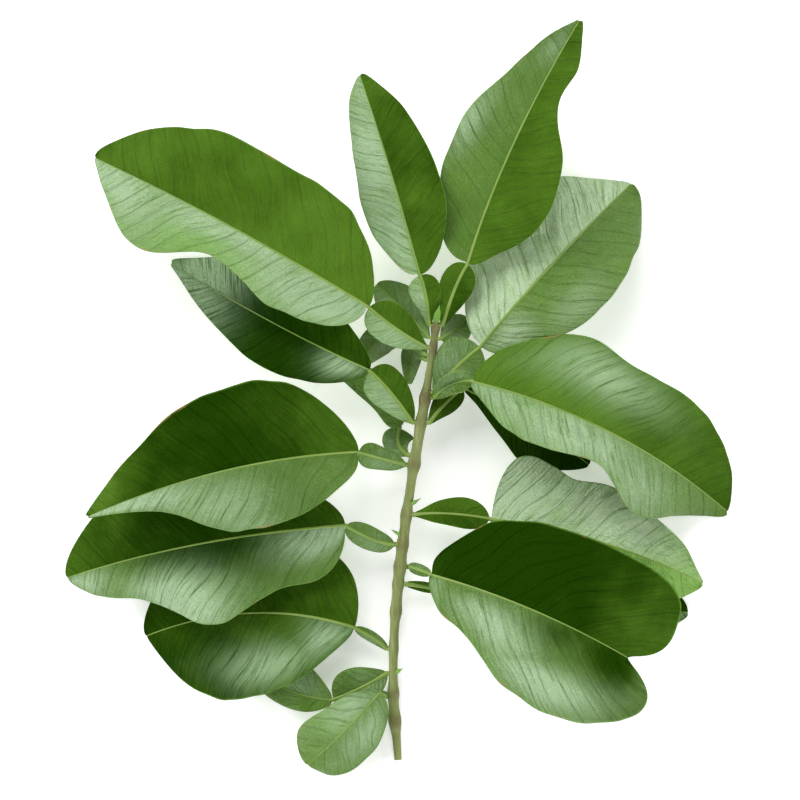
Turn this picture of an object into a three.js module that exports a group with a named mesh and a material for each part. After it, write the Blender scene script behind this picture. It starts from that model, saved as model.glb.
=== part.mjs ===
// Pomelo leaf sprig: a cut twig that lies on a table with its leaves spread.
// Millimetres, +Z up. The stem lies along +Y from its cut end to the growing tip, and the
// table is at z = 0. Every leaf is a flat blade joined to a winged petiole by a small joint,
// as in all pomelos, and the petioles leave the stem on alternate sides.
import * as THREE from "three";
import { mergeVertices } from "three/addons/utils/BufferGeometryUtils.js";

// ---------------------------------------------------------------- driving dimensions
const GAP = 0.3; // clearance between two pieces that grow against each other
const BLADE_THICKNESS = 0.5;
const WING_THICKNESS = 0.6;
const STALK_HALF_WIDTH = 0.8; // half the width of a leaf stalk where it leaves the stem
const STALK_LIFT = 0.3; // how far up the stem's flank the stalks leave, as a slope
const WING_CURL = -12; // how much a wing's margin turns down, in degrees
const END_FOLD = 0.4; // how much of their fold the wings keep at the petiole's ends
const YOUNG_CURL = -8;
const YOUNG_RIPPLE = [0.3, 2]; // as for the blades' ripple below
const BLADE_END = 0.8; // half the width of a blade at its very base and tip
const RIB_HEIGHT = 0.9; // how far the midrib stands below the blade at its base
const RIB_TAPER = 0.8; // part of that height that is gone by the tip
const HALF_PHASE = 0.3; // how far the waves of one margin run ahead of the other's, in waves
const LOBE_START = 0.4; // where along a blade a notched tip's lobes start to grow
const LOBE_FULL = 0.8; // where they have their full length
const FLOOR_SOFTNESS = 1.6; // how gently a drooping margin meets the table

const STEM_START = -145; // y of the cut end
const STEM_END = 31; // y of the last node
const STEM_CROWN = 0.6; // how far the stem's domed end stands past its last node
const STEM_SIDES = 10;
const STEM_STEPS = 44;
const STEM_X = [-0.8, -2.5, -2.6, -1.2, 1.2, 4.2, 7.8, 11.4, 14.4];
const STEM_Z = [2.4, 4.0, 5.8, 7.8, 9.8, 12, 14.2, 16.6, 19.5];
const STEM_RADIUS = [1.5, 2.0, 1.7, 2.1, 2.1, 1.9, 2.1, 1.5, 1.3];
// Swollen nodes and old leaf scars: y along the stem, extra radius, half-length.
const STEM_NODES = [
  [-129, 0.8, 4], [-118, 0.5, 3], [-100, 0.4, 3], [-85, 0.5, 3], [-74, 0.4, 2],
  [-67, 0.6, 3], [-58, 0.5, 3], [-46, 0.5, 3], [-26, 0.7, 3], [-9, 0.5, 3],
  [1, 0.8, 3.5], [21, 0.5, 2.5], [29, 0.6, 2.5],
];
const BUD_SIDES = 7;
const BUD_OUTLINE = [0, 0.6, 1, 0.85, 0.5, 0.25]; // radius from the foot up, as parts of the widest

const BLADE_COLUMNS = [-1, -0.6, -0.12, 0, 0.12, 0.6, 1]; // stations from margin to margin
const BLADE_STEPS = 11;
const WING_COLUMNS = [-1, -0.25, 0.25, 1];
const WING_STEPS = 6;

const GREENS = {
  dark: 0x2c5210, mid: 0x4e7824, pale: 0x86a46a, young: 0x7c9c62, wing: 0x5c8630,
  stem: 0x6b7038, bud: 0x7f9150,
};
const ROUGHNESS = { stem: 0.7, wing: 0.45, blade: 0.35, young: 0.4, bud: 0.5 };

// ---------------------------------------------------------------- the leaves
// base, middle and tip are points on a blade's midrib. left and right are the half-widths
// along it, as seen when looking from base to tip, spaced evenly from end to end of a half
// circle, so that equal numbers make an ellipse. rise is how steeply each half climbs away
// from the midrib, in degrees. curl turns the margins down or up. ripple is the height and
// number of the waves along the margins. lobe carries the two halves past a notched tip.
const LEAVES = [
  { // short round leaf beside the cut end
    name: "01", tone: "mid", node: -119.5,
    wing: {
      middle: [-6.2, -118.9, 8.1], end: [-7.8, -118, 9.5],
      half: [0.5, 1, 1, 1], rise: [0, 0],
    },
    base: [-8.5, -117.8, 9.8], middle: [-21.5, -132, 11], tip: [-37, -147, 0.2],
    left: [12, 12, 13, 14, 15, 15, 15], right: [8, 8, 10, 11, 15, 18, 19],
    rise: [[18, 14, 8], [16, 20, 10]], curl: -16, ripple: [0.8, 3],
  },
  { // small leaf tucked under the third
    name: "02", tone: "mid", node: -110,
    wing: {
      middle: [-15.5, -115.6, 7.5], end: [-26.6, -120.4, 7.2],
      half: [3, 5, 8, 10, 11], rise: [14, 20],
    },
    base: [-27.4, -120.8, 7], middle: [-43, -117.4, 5.4], tip: [-60, -110, 0.2],
    left: [4, 5, 6, 6, 5, 5], right: [6, 8, 11, 12, 10, 8],
    rise: [[10, 4, 0], [8, 4, 0]], curl: -10, ripple: [0.3, 2],
  },
  { // broad dark leaf low on the left
    name: "03", tone: "dark", node: -100,
    wing: {
      middle: [-9.5, -96.4, 8.2], end: [-17.6, -91.8, 11],
      half: [0.6, 1, 1.6, 2], rise: [10, 10],
    },
    base: [-18.4, -91.3, 11.4], middle: [-60, -85.4, 13.6], tip: [-102, -95, 3],
    left: [13, 23, 31, 33, 36, 38, 34], right: [38, 38, 34, 30, 28, 24, 20],
    rise: [[14, 12, 4], [6, 4, 2]], curl: -16, ripple: [1.2, 3],
  },
  { // hidden leaf low on the right
    name: "04", tone: "dark", node: -74,
    wing: {
      middle: [8, -74.8, 8.6], end: [15, -76.2, 8.4],
      half: [0.8, 1, 1.6, 2], rise: [6, 6],
    },
    base: [15.9, -76.4, 8.4], middle: [66, -82, 7.6], tip: [116, -85.6, 0.2],
    left: [8, 12, 17, 20, 20, 18, 14], right: [8, 10, 14, 17, 16, 11, 8],
    rise: [[2, 0, 0], [2, 2, 2]], curl: -6, ripple: [0.6, 3],
  },
  { // big dark leaf with a notched tip
    name: "05", tone: "dark", node: -67,
    wing: {
      middle: [6.4, -67.6, 11.8], end: [12, -69.6, 15.4],
      half: [0.8, 1.2, 1.8, 2], rise: [8, 8],
    },
    base: [12.8, -70, 16], middle: [52.8, -83.6, 31], tip: [91, -103, 23],
    left: [25, 27, 34, 35, 40, 47, 44], right: [24, 23, 21, 32, 36, 38, 40],
    rise: [[20, 18, 4], [12, 18, 22]], curl: -14, ripple: [1.6, 3], lobe: [17, 19],
  },
  { // long leaf whose upper half lies in the shade
    name: "06", tone: "mid", node: -58,
    wing: {
      middle: [-10.6, -56, 14], end: [-21.4, -50.6, 17.6],
      half: [1, 3, 4, 5, 5], rise: [16, 26],
    },
    base: [-22.2, -50.2, 18], middle: [-80, -57.6, 18.6], tip: [-134, -71.6, -1.5],
    left: [37, 35, 27, 33, 19, 16, 14], right: [20, 22, 24, 26, 28, 28, 22],
    rise: [[8, 20, 8], [4, -4, -6]], curl: -12, ripple: [1.2, 3],
  },
  { // pale leaf under the notched one
    name: "07", tone: "pale", node: -46,
    wing: {
      middle: [20, -45.8, 14.6], end: [35.6, -47.6, 15.2],
      half: [1, 2, 5, 7, 7, 4], rise: [8, 56],
    },
    base: [36.6, -47.9, 15.4], middle: [80.5, -57, 19], tip: [121.6, -73.6, 7],
    left: [60, 54, 38, 23, 21, 17, 14, 7, 4], right: [16, 19, 21, 22, 21, 18, 9],
    rise: [[-6, -10, -8], [14, 10, 4]], curl: 8, ripple: [1.0, 3],
  },
  { // small leaf behind the stem
    name: "08", tone: "pale", node: -22,
    wing: {
      middle: [-0.4, -18, 8], end: [-0.2, -11.6, 8.4],
      half: [0.4, 1.5, 4, 6, 7, 7], rise: [10, 10],
    },
    base: [-0.2, -10.7, 8.6], middle: [-11, 2, 9.6], tip: [-27, 14, 8],
    left: [6, 5, 3, 3, 3, 3], right: [6, 7, 8, 8, 7, 5],
    rise: [[8, 4, 0], [6, 2, 0]], curl: -8, ripple: [0.5, 2],
  },
  { // dark leaf in the middle of the left side
    name: "09", tone: "dark", node: -26,
    wing: {
      middle: [-7.6, -23.4, 18.4], end: [-16.4, -21, 23.4],
      half: [1, 3, 4, 6, 7], rise: [20, 24],
    },
    base: [-17.2, -20.8, 23.9], middle: [-71, -28.4, 38], tip: [-124.6, -46.6, 20],
    left: [21, 24, 26, 25, 10, 4, 3], right: [22, 29, 35, 30, 21, 12, 5],
    rise: [[22, 28, 50], [16, 18, 14]], curl: -16, ripple: [1.2, 3],
  },
  { // narrow leaf under the right-hand ones
    name: "10", tone: "dark", node: -9,
    wing: {
      middle: [17.6, -2, 12.4], end: [24.8, 4.6, 12.8],
      half: [1, 2, 4, 5, 5], rise: [10, 6],
    },
    base: [26, 4.6, 12.7], middle: [52, -9.4, 11], tip: [76, -26, 4],
    left: [6, 8, 10, 11, 10, 7], right: [2, 4, 10, 15, 11, 6],
    rise: [[4, 2, 0], [4, 2, 0]], curl: -8, ripple: [0.5, 2],
  },
  { // leaf under the big upper one
    name: "11", tone: "dark", node: -9,
    wing: {
      middle: [-3.6, 2.8, 20], end: [-12, 11.6, 21.4],
      half: [1, 4, 6, 8, 9, 7], rise: [18, 16],
    },
    base: [-12.8, 12.4, 21.5], middle: [-51, 31, 25], tip: [-92, 55, 0.6],
    left: [14, 14, 17, 17, 12, 6, 4], right: [13, 15, 18, 20, 18, 13, 9],
    rise: [[14, 16, 2], [44, 26, 0]], curl: -18, ripple: [1.2, 3],
  },
  { // long glossy leaf on the right
    name: "12", tone: "mid", node: 1,
    wing: {
      middle: [20.6, 6.2, 23.4], end: [28.4, 7.6, 26.8],
      half: [1, 3, 5, 6, 6], rise: [50, 56],
    },
    base: [29.3, 7.2, 27.2], middle: [83.4, -12.8, 34], tip: [131.8, -44.8, -1],
    left: [20, 29, 33, 28, 28, 25, 24], right: [13, 14, 19, 18, 13, 25, 20, 15, 13],
    rise: [[14, 10, 2], [26, 24, 4]], curl: -14, ripple: [1.4, 3],
  },
  { // broad pale leaf behind the top pair
    name: "13", tone: "pale", node: 3,
    wing: {
      middle: [22.6, 13, 19.6], end: [31.8, 21, 20.6],
      half: [1, 4, 8, 10, 10, 8], rise: [2, 10],
    },
    base: [32.6, 21.8, 20.7], middle: [62.4, 56, 24], tip: [93, 87, 0],
    left: [25, 28, 31, 32, 31, 17, 12], right: [24, 23, 25, 26, 24, 22, 24],
    rise: [[-10, -10, -6], [12, 14, 8]], curl: -6, ripple: [1.0, 3],
  },
  { // big leaf at the top left
    name: "14", tone: "mid", node: 21,
    wing: {
      middle: [-1.8, 28.6, 25.6], end: [-12.2, 36.8, 29.6],
      half: [1, 3, 6, 8, 9, 7], rise: [20, 18],
    },
    base: [-13, 37.4, 29.9], middle: [-66, 68, 43], tip: [-121.4, 96.4, 27],
    left: [24, 26, 23, 14, 27, 17, 9], right: [28, 34, 32, 30, 21],
    rise: [[16, 24, 16], [10, 14, 6]], curl: -12, ripple: [1.6, 3],
  },
  { // upright leaf at the top
    name: "15", tone: "mid", node: 30,
    wing: {
      middle: [10.6, 40.4, 24.8], end: [8, 49.6, 27.6],
      half: [0.4, 2, 5, 7, 7], rise: [10, 24],
    },
    base: [7.7, 50.4, 27.8], middle: [-3.6, 90, 37], tip: [-16, 129.4, 26],
    left: [15, 15, 16, 14, 12, 11, 8], right: [16, 17, 19, 17, 15, 11, 8],
    rise: [[-8, -16, -10], [14, 20, 8]], curl: -10, ripple: [1.0, 3],
  },
  { // tall leaf leaning right at the top
    name: "16", tone: "mid", node: 30,
    wing: {
      middle: [21.8, 44, 25.8], end: [26.8, 54, 29.8],
      half: [1, 2.5, 5, 6.5, 6.5, 5], rise: [18, 18],
    },
    base: [27.1, 54.9, 30.1], middle: [45.2, 102, 43], tip: [71.4, 151, 30],
    left: [25, 25, 24, 23, 16, 11, 6], right: [18, 18, 23, 25, 21, 9, 12, 9, 6],
    rise: [[4, -4, -8], [14, 14, 10]], curl: -16, ripple: [1.4, 3],
  },
];

// Young leaves of the growing tip, each still one piece with its stalk.
const YOUNG_LEAVES = [
  {
    name: "1", node: 25, middle: [1.4, 36, 17.4], tip: [-9.4, 46.4, 16],
    left: [1, 4, 8, 7, 5], right: [1, 4, 8, 7, 5], rise: [[10, 4], [8, 4]],
  },
  {
    name: "2", node: 16, middle: [5.6, 18.6, 13], tip: [3.6, 6.4, 11.6],
    left: [1, 2, 3, 3, 2], right: [1, 3, 4, 3, 2], rise: [[8, 4], [8, 4]],
  },
  {
    name: "3", node: 18, middle: [-4.6, 25.4, 15], tip: [-16, 13.6, 13],
    left: [1, 2, 5, 6, 4], right: [1, 2, 5, 6, 4], rise: [[8, 4], [8, 4]],
  },
  {
    name: "4", node: 24.5, middle: [21.4, 28, 15], tip: [27, 33, 13.4],
    left: [0.5, 3, 5, 5, 4], right: [2, 5, 6, 6, 4], rise: [[10, 6], [10, 6]],
  },
];

// Buds and short thorns in the leaf corners: y of the node, direction, length, thickness.
const BUDS = [
  { name: "bud_01", node: -110.2, toward: [0.9, 0.5, 0.5], length: 3.2, radius: 0.9 },
  { name: "thorn_01", node: -55, toward: [-0.8, 0.5, 0.6], length: 4.6, radius: 0.7 },
  { name: "thorn_02", node: -42.6, toward: [0.9, 0.55, 0.6], length: 5.4, radius: 0.8 },
  { name: "terminal_bud", node: 31, toward: [0.12, 0.6, 1], length: 12, radius: 1.3 },
];

// ---------------------------------------------------------------- curves
const radians = THREE.MathUtils.degToRad;

// A smooth curve through evenly spaced values, read at t from 0 to 1.
function through(values, t) {
  const place = Math.min(Math.max(t, 0), 1) * (values.length - 1);
  const i = Math.min(Math.floor(place), values.length - 2);
  const f = place - i;
  const at = (k) => values[Math.min(Math.max(k, 0), values.length - 1)];
  const [a, b, c, d] = [at(i - 1), at(i), at(i + 1), at(i + 2)];
  return b + 0.5 * f * (c - a + f * (2 * a - 5 * b + 4 * c - d + f * (3 * (b - c) + d - a)));
}

// A parabola through three points, and its direction.
function alongMidrib({ base, middle, tip }, u) {
  const mix = (a, b, c) => base.map((p, k) => a * p + b * middle[k] + c * tip[k]);
  const point = mix((1 - u) * (1 - 2 * u), 4 * u * (1 - u), u * (2 * u - 1));
  const slope = mix(4 * u - 3, 4 - 8 * u, 4 * u - 1);
  return [new THREE.Vector3(...point), new THREE.Vector3(...slope).normalize()];
}

// ---------------------------------------------------------------- stem
const heightOf = (y) => (y - STEM_START) / (STEM_END - STEM_START);

function stemCentre(y) {
  return new THREE.Vector3(through(STEM_X, heightOf(y)), y, through(STEM_Z, heightOf(y)));
}

// The direction of the stem at y, taken over a millimetre of its length.
const stemLine = (y) => stemCentre(y + 0.5).sub(stemCentre(y - 0.5)).normalize();

function stemRadius(y) {
  const swelling = (sum, [at, extra, half]) => sum + extra * Math.exp(-(((y - at) / half) ** 2));
  return STEM_NODES.reduce(swelling, through(STEM_RADIUS, heightOf(y)));
}

// A turned profile is bent along the stem's line. Both its ends lie on the axis.
function stemGeometry() {
  const profile = [new THREE.Vector2(0, STEM_START)];
  for (let i = 0; i <= STEM_STEPS; i++) {
    const y = STEM_START + ((STEM_END - STEM_START) * i) / STEM_STEPS;
    profile.push(new THREE.Vector2(stemRadius(y), y));
  }
  profile.push(new THREE.Vector2(0, STEM_END + STEM_CROWN));
  const geometry = weld(new THREE.LatheGeometry(profile, STEM_SIDES));
  const up = new THREE.Vector3(0, 0, 1);
  return reshape(geometry, (p) => {
    const y = Math.min(p.y, STEM_END);
    const line = stemLine(y);
    const side = line.clone().cross(up).normalize();
    const top = side.clone().cross(line);
    const place = stemCentre(y).addScaledVector(side, p.x).addScaledVector(top, p.z);
    return place.addScaledVector(line, p.y - y);
  });
}

// ---------------------------------------------------------------- blades and wings
// Welds a geometry's faces into one closed surface.
function weld(geometry) {
  geometry.deleteAttribute("normal");
  geometry.deleteAttribute("uv");
  return mergeVertices(geometry, 1e-4);
}

function reshape(geometry, move) {
  const corners = geometry.attributes.position;
  const p = new THREE.Vector3();
  for (let i = 0; i < corners.count; i++) {
    p.fromBufferAttribute(corners, i);
    p.copy(move(p));
    corners.setXYZ(i, p.x, p.y, p.z);
  }
  geometry.computeVertexNormals();
  return geometry;
}

// How much of a notched blade's lobe is reached at s. It goes back to nothing at the tip.
function pastTip(s) {
  const gone = Math.max((s - LOBE_FULL) / (1 - LOBE_FULL), 0);
  return THREE.MathUtils.smoothstep(s, LOBE_START, LOBE_FULL) * (1 - gone ** 4);
}

// Nothing goes through the table: a margin that droops to it flattens out on it.
const restOnTable = (z, low) => low + 0.5 * (z - low + Math.hypot(z - low, FLOOR_SOFTNESS));

// The point on a leaf's middle surface at s along it and v across it (-1 right, 1 left),
// and the direction that the surface faces there.
function onSheet(leaf, s, v) {
  const side = v < 0 ? -1 : 1;
  const half = side > 0 ? 0 : 1;
  const reach = Math.abs(v);
  const u = (1 - Math.cos(Math.PI * s)) / 2;
  const [point, line] = alongMidrib(leaf, u);
  const across = new THREE.Vector3(-line.y, line.x, 0).normalize();
  const up = line.clone().cross(across);
  const width = leaf.end + Math.sin(Math.PI * s) * through([leaf.left, leaf.right][half], s);
  const tilt = radians(through(leaf.rise[half], s));
  const bend = radians(leaf.curl);
  const out = (width * (Math.sin(tilt + bend * reach) - Math.sin(tilt))) / bend;
  const climb = (width * (Math.cos(tilt) - Math.cos(tilt + bend * reach))) / bend;
  const [waveHeight, waves] = leaf.ripple;
  const wave = waveHeight * reach ** 2 * Math.sin(2 * Math.PI * (waves * s + HALF_PHASE * half));
  point.addScaledVector(line, leaf.lobe[half] * pastTip(s) * reach ** 1.5);
  point.addScaledVector(across, side * out).addScaledVector(up, climb + wave);
  const turned = v === 0 ? 0 : tilt + bend * reach;
  const facing = up.multiplyScalar(Math.cos(turned)).addScaledVector(across, -side * Math.sin(turned));
  return [point, facing, u];
}

// A closed sheet with a rib under its middle, from a box whose grid is laid on the surface.
function sheetGeometry(leaf, columns, steps, thickness) {
  const box = weld(new THREE.BoxGeometry(1, 1, 1, columns.length - 1, steps, 1));
  return reshape(box, (p) => {
    const column = Math.round((p.x + 0.5) * (columns.length - 1));
    const v = -columns[column];
    const [point, facing, u] = onSheet(leaf, p.y + 0.5, v);
    const rib = v === 0 ? leaf.rib * (1 - RIB_TAPER * u) : 0;
    point.z = restOnTable(point.z, thickness / 2 + rib);
    return point.addScaledVector(facing, p.z > 0 ? thickness / 2 : -thickness / 2 - rib);
  });
}

function bladeGeometry(leaf) {
  const shape = { lobe: [0, 0], end: BLADE_END, rib: RIB_HEIGHT, ...leaf };
  return sheetGeometry(shape, BLADE_COLUMNS, BLADE_STEPS, BLADE_THICKNESS);
}

// The point beside the stem's flank from which a stalk leaves, on the side that it goes to.
function besideStem(y, target) {
  const centre = stemCentre(y);
  const side = Math.sign(target[0] - centre.x);
  const flank = new THREE.Vector3(side, 0, STALK_LIFT).normalize();
  return centre.addScaledVector(flank, stemRadius(y) + GAP + STALK_HALF_WIDTH);
}

// A petiole's two wings fold up most along its middle, and lie flatter at both of its ends.
function wingGeometry({ node, wing }) {
  const shape = {
    base: besideStem(node, wing.middle).toArray(), middle: wing.middle, tip: wing.end,
    left: wing.half, right: wing.half,
    rise: wing.rise.map((fold) => [END_FOLD * fold, fold, END_FOLD * fold]),
    curl: WING_CURL, ripple: [0, 1], lobe: [0, 0], end: STALK_HALF_WIDTH, rib: 0,
  };
  return sheetGeometry(shape, WING_COLUMNS, WING_STEPS, WING_THICKNESS);
}

function youngLeafGeometry(leaf) {
  const base = besideStem(leaf.node, leaf.middle).toArray();
  const shape = {
    ...leaf, base, curl: YOUNG_CURL, ripple: YOUNG_RIPPLE, lobe: [0, 0],
    end: STALK_HALF_WIDTH, rib: 0,
  };
  return sheetGeometry(shape, WING_COLUMNS, WING_STEPS, BLADE_THICKNESS);
}

// ---------------------------------------------------------------- buds and thorns
// A turned spindle, fat near its foot and drawn out to a blunt point.
function budGeometry({ node, toward, length, radius }) {
  const step = length / BUD_OUTLINE.length;
  const profile = BUD_OUTLINE.map((part, i) => new THREE.Vector2(part * radius, i * step));
  profile.push(new THREE.Vector2(0, length));
  const geometry = weld(new THREE.LatheGeometry(profile, BUD_SIDES));
  const direction = new THREE.Vector3(...toward).normalize();
  const foot = stemCentre(node).addScaledVector(direction, stemRadius(node) + GAP);
  const turn = new THREE.Quaternion().setFromUnitVectors(new THREE.Vector3(0, 1, 0), direction);
  return geometry.applyQuaternion(turn).translate(foot.x, foot.y, foot.z);
}

// ---------------------------------------------------------------- assembly
const sprig = new THREE.Group();

function add(name, geometry, color, roughness) {
  const material = new THREE.MeshStandardMaterial({ color, roughness, metalness: 0 });
  const mesh = new THREE.Mesh(geometry, material);
  mesh.name = name;
  sprig.add(mesh);
}

add("stem", stemGeometry(), GREENS.stem, ROUGHNESS.stem);
for (const leaf of LEAVES) {
  add(`winged_petiole_${leaf.name}`, wingGeometry(leaf), GREENS.wing, ROUGHNESS.wing);
  add(`blade_${leaf.name}`, bladeGeometry(leaf), GREENS[leaf.tone], ROUGHNESS.blade);
}
for (const leaf of YOUNG_LEAVES) {
  add(`young_leaf_${leaf.name}`, youngLeafGeometry(leaf), GREENS.young, ROUGHNESS.young);
}
for (const bud of BUDS) {
  add(bud.name, budGeometry(bud), GREENS.bud, ROUGHNESS.bud);
}

// The origin is under the middle of the sprig, on the table.
const extent = new THREE.Box3().setFromObject(sprig);
const middle = extent.getCenter(new THREE.Vector3());
sprig.position.set(-middle.x, -middle.y, -extent.min.z);

export default sprig;
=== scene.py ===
"""Pomelo leaf sprig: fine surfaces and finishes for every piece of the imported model.

The leaves, the stem, the buds and the thorns follow the same driving dimensions as their plain
solids, on a much finer grid. The whole is laid where the frame has the big upper leaf's solid.
Dimensions in the tables are in millimetres. Everything that is built is in metres.
"""
import math

import bpy
import numpy as np
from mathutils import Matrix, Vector


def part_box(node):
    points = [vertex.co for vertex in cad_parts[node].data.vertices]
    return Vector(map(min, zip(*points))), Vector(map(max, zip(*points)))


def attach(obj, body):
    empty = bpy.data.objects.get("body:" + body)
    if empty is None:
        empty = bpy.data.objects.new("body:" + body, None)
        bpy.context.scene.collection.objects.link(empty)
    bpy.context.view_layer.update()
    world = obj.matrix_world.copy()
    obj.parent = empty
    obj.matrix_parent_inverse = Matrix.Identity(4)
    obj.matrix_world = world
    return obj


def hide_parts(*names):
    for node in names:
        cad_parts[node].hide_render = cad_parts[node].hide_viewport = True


bl_info = {
    "name": "Pomelo Leaf Sprig",
    "version": (1, 0, 0),
    "blender": (4, 5, 0),
    "location": "3D View > Sidebar > Sprig",
    "description": "Builds the leaves, stem, buds and thorns of a cut pomelo sprig",
    "category": "Add Mesh",
}

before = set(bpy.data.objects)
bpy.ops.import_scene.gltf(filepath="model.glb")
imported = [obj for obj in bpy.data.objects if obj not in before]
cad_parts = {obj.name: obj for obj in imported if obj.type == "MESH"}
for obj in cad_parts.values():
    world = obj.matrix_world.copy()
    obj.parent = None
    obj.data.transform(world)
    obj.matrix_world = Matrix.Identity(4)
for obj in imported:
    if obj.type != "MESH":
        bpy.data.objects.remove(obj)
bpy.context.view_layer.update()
MM = 0.001

# ---------------------------------------------------------------- driving dimensions, in mm
GAP = 0.3  # clearance between the plain solids
STALK_HALF_WIDTH = 0.8
STALK_LIFT = 0.3  # how far up the stem's flank the stalks leave, as a slope
FLOOR_SOFTNESS = 1.6  # how gently a drooping margin meets the table
WING_CURL = -12
YOUNG_CURL = -8
YOUNG_RIPPLE = [0.3, 2]
BLADE_END = 0.8  # half-width of a blade's two ends
RIB_DROP = 0.9  # how far a blade's midrib hangs under it at the base
RIB_FADE = 0.8  # how much of that it has lost at the tip, as a share
HALF_PHASE = 0.3  # how far the two margins' waves are out of step, in turns
LOBE_START = 0.4  # where a notched blade's halves start to run past its midrib
LOBE_FULL = 0.8
END_FOLD = 0.4  # how much of their fold the wings keep at the petiole's ends
ROOTED = 1.6  # how far a bud's foot runs into the bark
ROOTED_SHARE = 0.75  # how much of the way to the stem's middle a stalk's foot goes
BRIDGE = 1.1  # how far a petiole's rib runs on into the blade's joint

STEM_START = -145
STEM_END = 31
STEM_X = [-0.8, -2.5, -2.6, -1.2, 1.2, 4.2, 7.8, 11.4, 14.4]
STEM_Z = [2.4, 4.0, 5.8, 7.8, 9.8, 12, 14.2, 16.6, 19.5]
STEM_RADIUS = [1.5, 2.0, 1.7, 2.1, 2.1, 1.9, 2.1, 1.5, 1.3]
# Swollen nodes and old leaf scars: y along the stem, extra radius, half-length.
STEM_NODES = [
    (-129, 0.8, 4), (-118, 0.5, 3), (-100, 0.4, 3), (-85, 0.5, 3), (-74, 0.4, 2), (-67, 0.6, 3),
    (-58, 0.5, 3), (-46, 0.5, 3), (-26, 0.7, 3), (-9, 0.5, 3), (1, 0.8, 3.5), (21, 0.5, 2.5),
    (29, 0.6, 2.5),
]
PLAIN_THICKNESS = 0.5
PLAIN_COLUMNS = [-1, -0.6, -0.12, 0, 0.12, 0.6, 1]  # a plain blade's stations across it
PLAIN_STEPS = 11

# ---------------------------------------------------------------- choices for the fine surfaces
WIDE = 30  # half-width of a blade whose margin is fully uneven, in mm
BROAD = 30  # half-width of a blade that has the full midrib, in mm
NIBBLES = ((9, 1.3), (4, 0.5))  # a margin's uneven places: distance apart and depth, in mm
FLUTTER = (12, 1.2)  # the same for its rise and fall
RIM_THINNING = 0.55  # how much thinner a leaf is at its very margin, as a share
VEIN_SLANT = 0.66  # how far a side vein runs on towards the tip for each mm outwards
VEIN_BEND = 0.003  # how that grows, for each mm outwards
VEIN_WANDER = 0.3  # how unevenly the side veins are spaced, as a share of their spacing
WANDER_STEPS = 9
# How the side veins weave: share of their spacing, mm along and out for a turn, the seed's share.
VEIN_WEAVES = ((0.14, 9, 6, 0), (0.1, 5, -11, 1))
FEWEST_VEINS = 7
RELIEF_START = (0.3, 3.0)  # where the relief sets in beside the midrib, in mm
DEEP_RELIEF = 0.3  # how much of its relief a deep green half has
PALE_RELIEF = 0.9  # what a pale one has more
GROOVE_SHARPNESS = 5.0
PUCKER_RUN = 1.6  # how fast the puckers change from midrib to margin
PUCKER_SCALE = 1.7  # puckers for each side vein
GUIDE_POINTS = 60  # points along a midrib that its length is measured by
ROWS_PER_CELL = 1.3  # how much closer a leaf's rows stand than its columns
FEWEST_ROWS = 14
FEWEST_COLUMNS = 6  # in each half
CROWDING = 0.2  # how much closer the columns stand at the midrib, as a share
RIB_SPREAD = 0.1  # half-width of the dip under a midrib, as a share of the leaf's
MAP_UNIT = 100  # mm that one unit of a leaf's own map covers
RIB_TAPER = 0.3  # the midrib's radius at the tip as a share of that at the base
BLADE_RIB_SIDES = 10
SMALL_RIB_SIDES = 14
WING_RIB = (1.0, 0.8)  # a petiole's rib at its base and its end, in mm
YOUNG_RIB = (0.7, 0.2)
SMALL_CELL = 0.45
SMALL_VEIN_GAP = 4.0
SMALL_RELIEF = {"vein_depth": 0.4, "crinkle": 0.4, "crinkle_size": 0.4, "pucker": 0.3}
SMALL_SEED = 100  # keeps the small leaves' random numbers apart from the blades'
STEM_POINTS = 330
STEM_SIDES = 28
STEM_CROWN = (0.6, 0.4)  # the rounded top: its height in mm, and its share of the radius
AGE_SWELLING = 0.8  # extra radius of a node that is brown all over, in mm
LEAST_AGE, NODE_AGE, END_AGE = 0.1, 0.6, 0.35  # brown of the bark: least, at nodes, at the top
AGEING = (-20, 25)  # where along y the top's brown sets in and is full
LENTICELS = 90000  # cork spots on a square metre of bark
LENTICEL_SEED = 4
LENTICEL_SPREAD = (0.5, 1.5)  # smallest and largest, as shares of the size that is set
LENTICEL_SHAPE = (1.0, 1.0, 0.45)  # a flattened ball
RIDGE_STRETCH = (1.0, 0.14, 1.0)  # draws the bark's ridges out along the stem
RIDGE_SCALE = 620.0
BUD_OUTLINE = [0.9, 0.95, 1, 0.85, 0.5, 0.25, 0.02]
BUD_ROWS = 40
BUD_SIDES = 36
FURROW = 0.14  # depth of a bud's furrows, as a share of its radius
MOST_STRAY = 4.0  # how far a fine surface may reach past its plain solid, in mm
# How far each slot's tones move, the young leaves' too: partly the leaves' own green, partly painted
# shade below 0 and painted light above it, which also makes their painted sheen paler
TONE_SHADE = {"dark": -0.05, "mid": 0.0, "pale": 0.1}
YOUNG_SHADE = 0.15
GLOSS = 0.55  # how strongly an open leaf half reflects
SHADED_GLOSS = 0.06
SHADED_TONE = 0.38  # a half whose mean tone is under this has the duller finish
TOP, UNDER, RIB, SHADED = range(4)  # what a leaf's faces belong to
BARK, CORK = range(2)  # what the stem's faces belong to
NET_SCALE = 58.0  # cells of the finest veins in one unit of a leaf's map
NET_LINE = (0.02, 0.14)  # where a line of that net ends and the clear cell starts
PALE_SHEEN = (232, 244, 214)  # painted sheen colour of the palest leaves

FIELD = 0.32  # width that the camera takes in at the leaves' height, in metres
CAMERA_HEIGHT = 2.4
LEAF_HEIGHT = 0.02
SENSOR = 36
FAR_END = 20
FLOOR_HALF = 3.0
FLOOR_GLOW = 0.3  # the floor is lit a little from below, as on a light table
WORLD_COLOUR = (0.93, 0.97, 1.0, 1.0)
WORLD_LIGHT = 0.3
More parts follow.
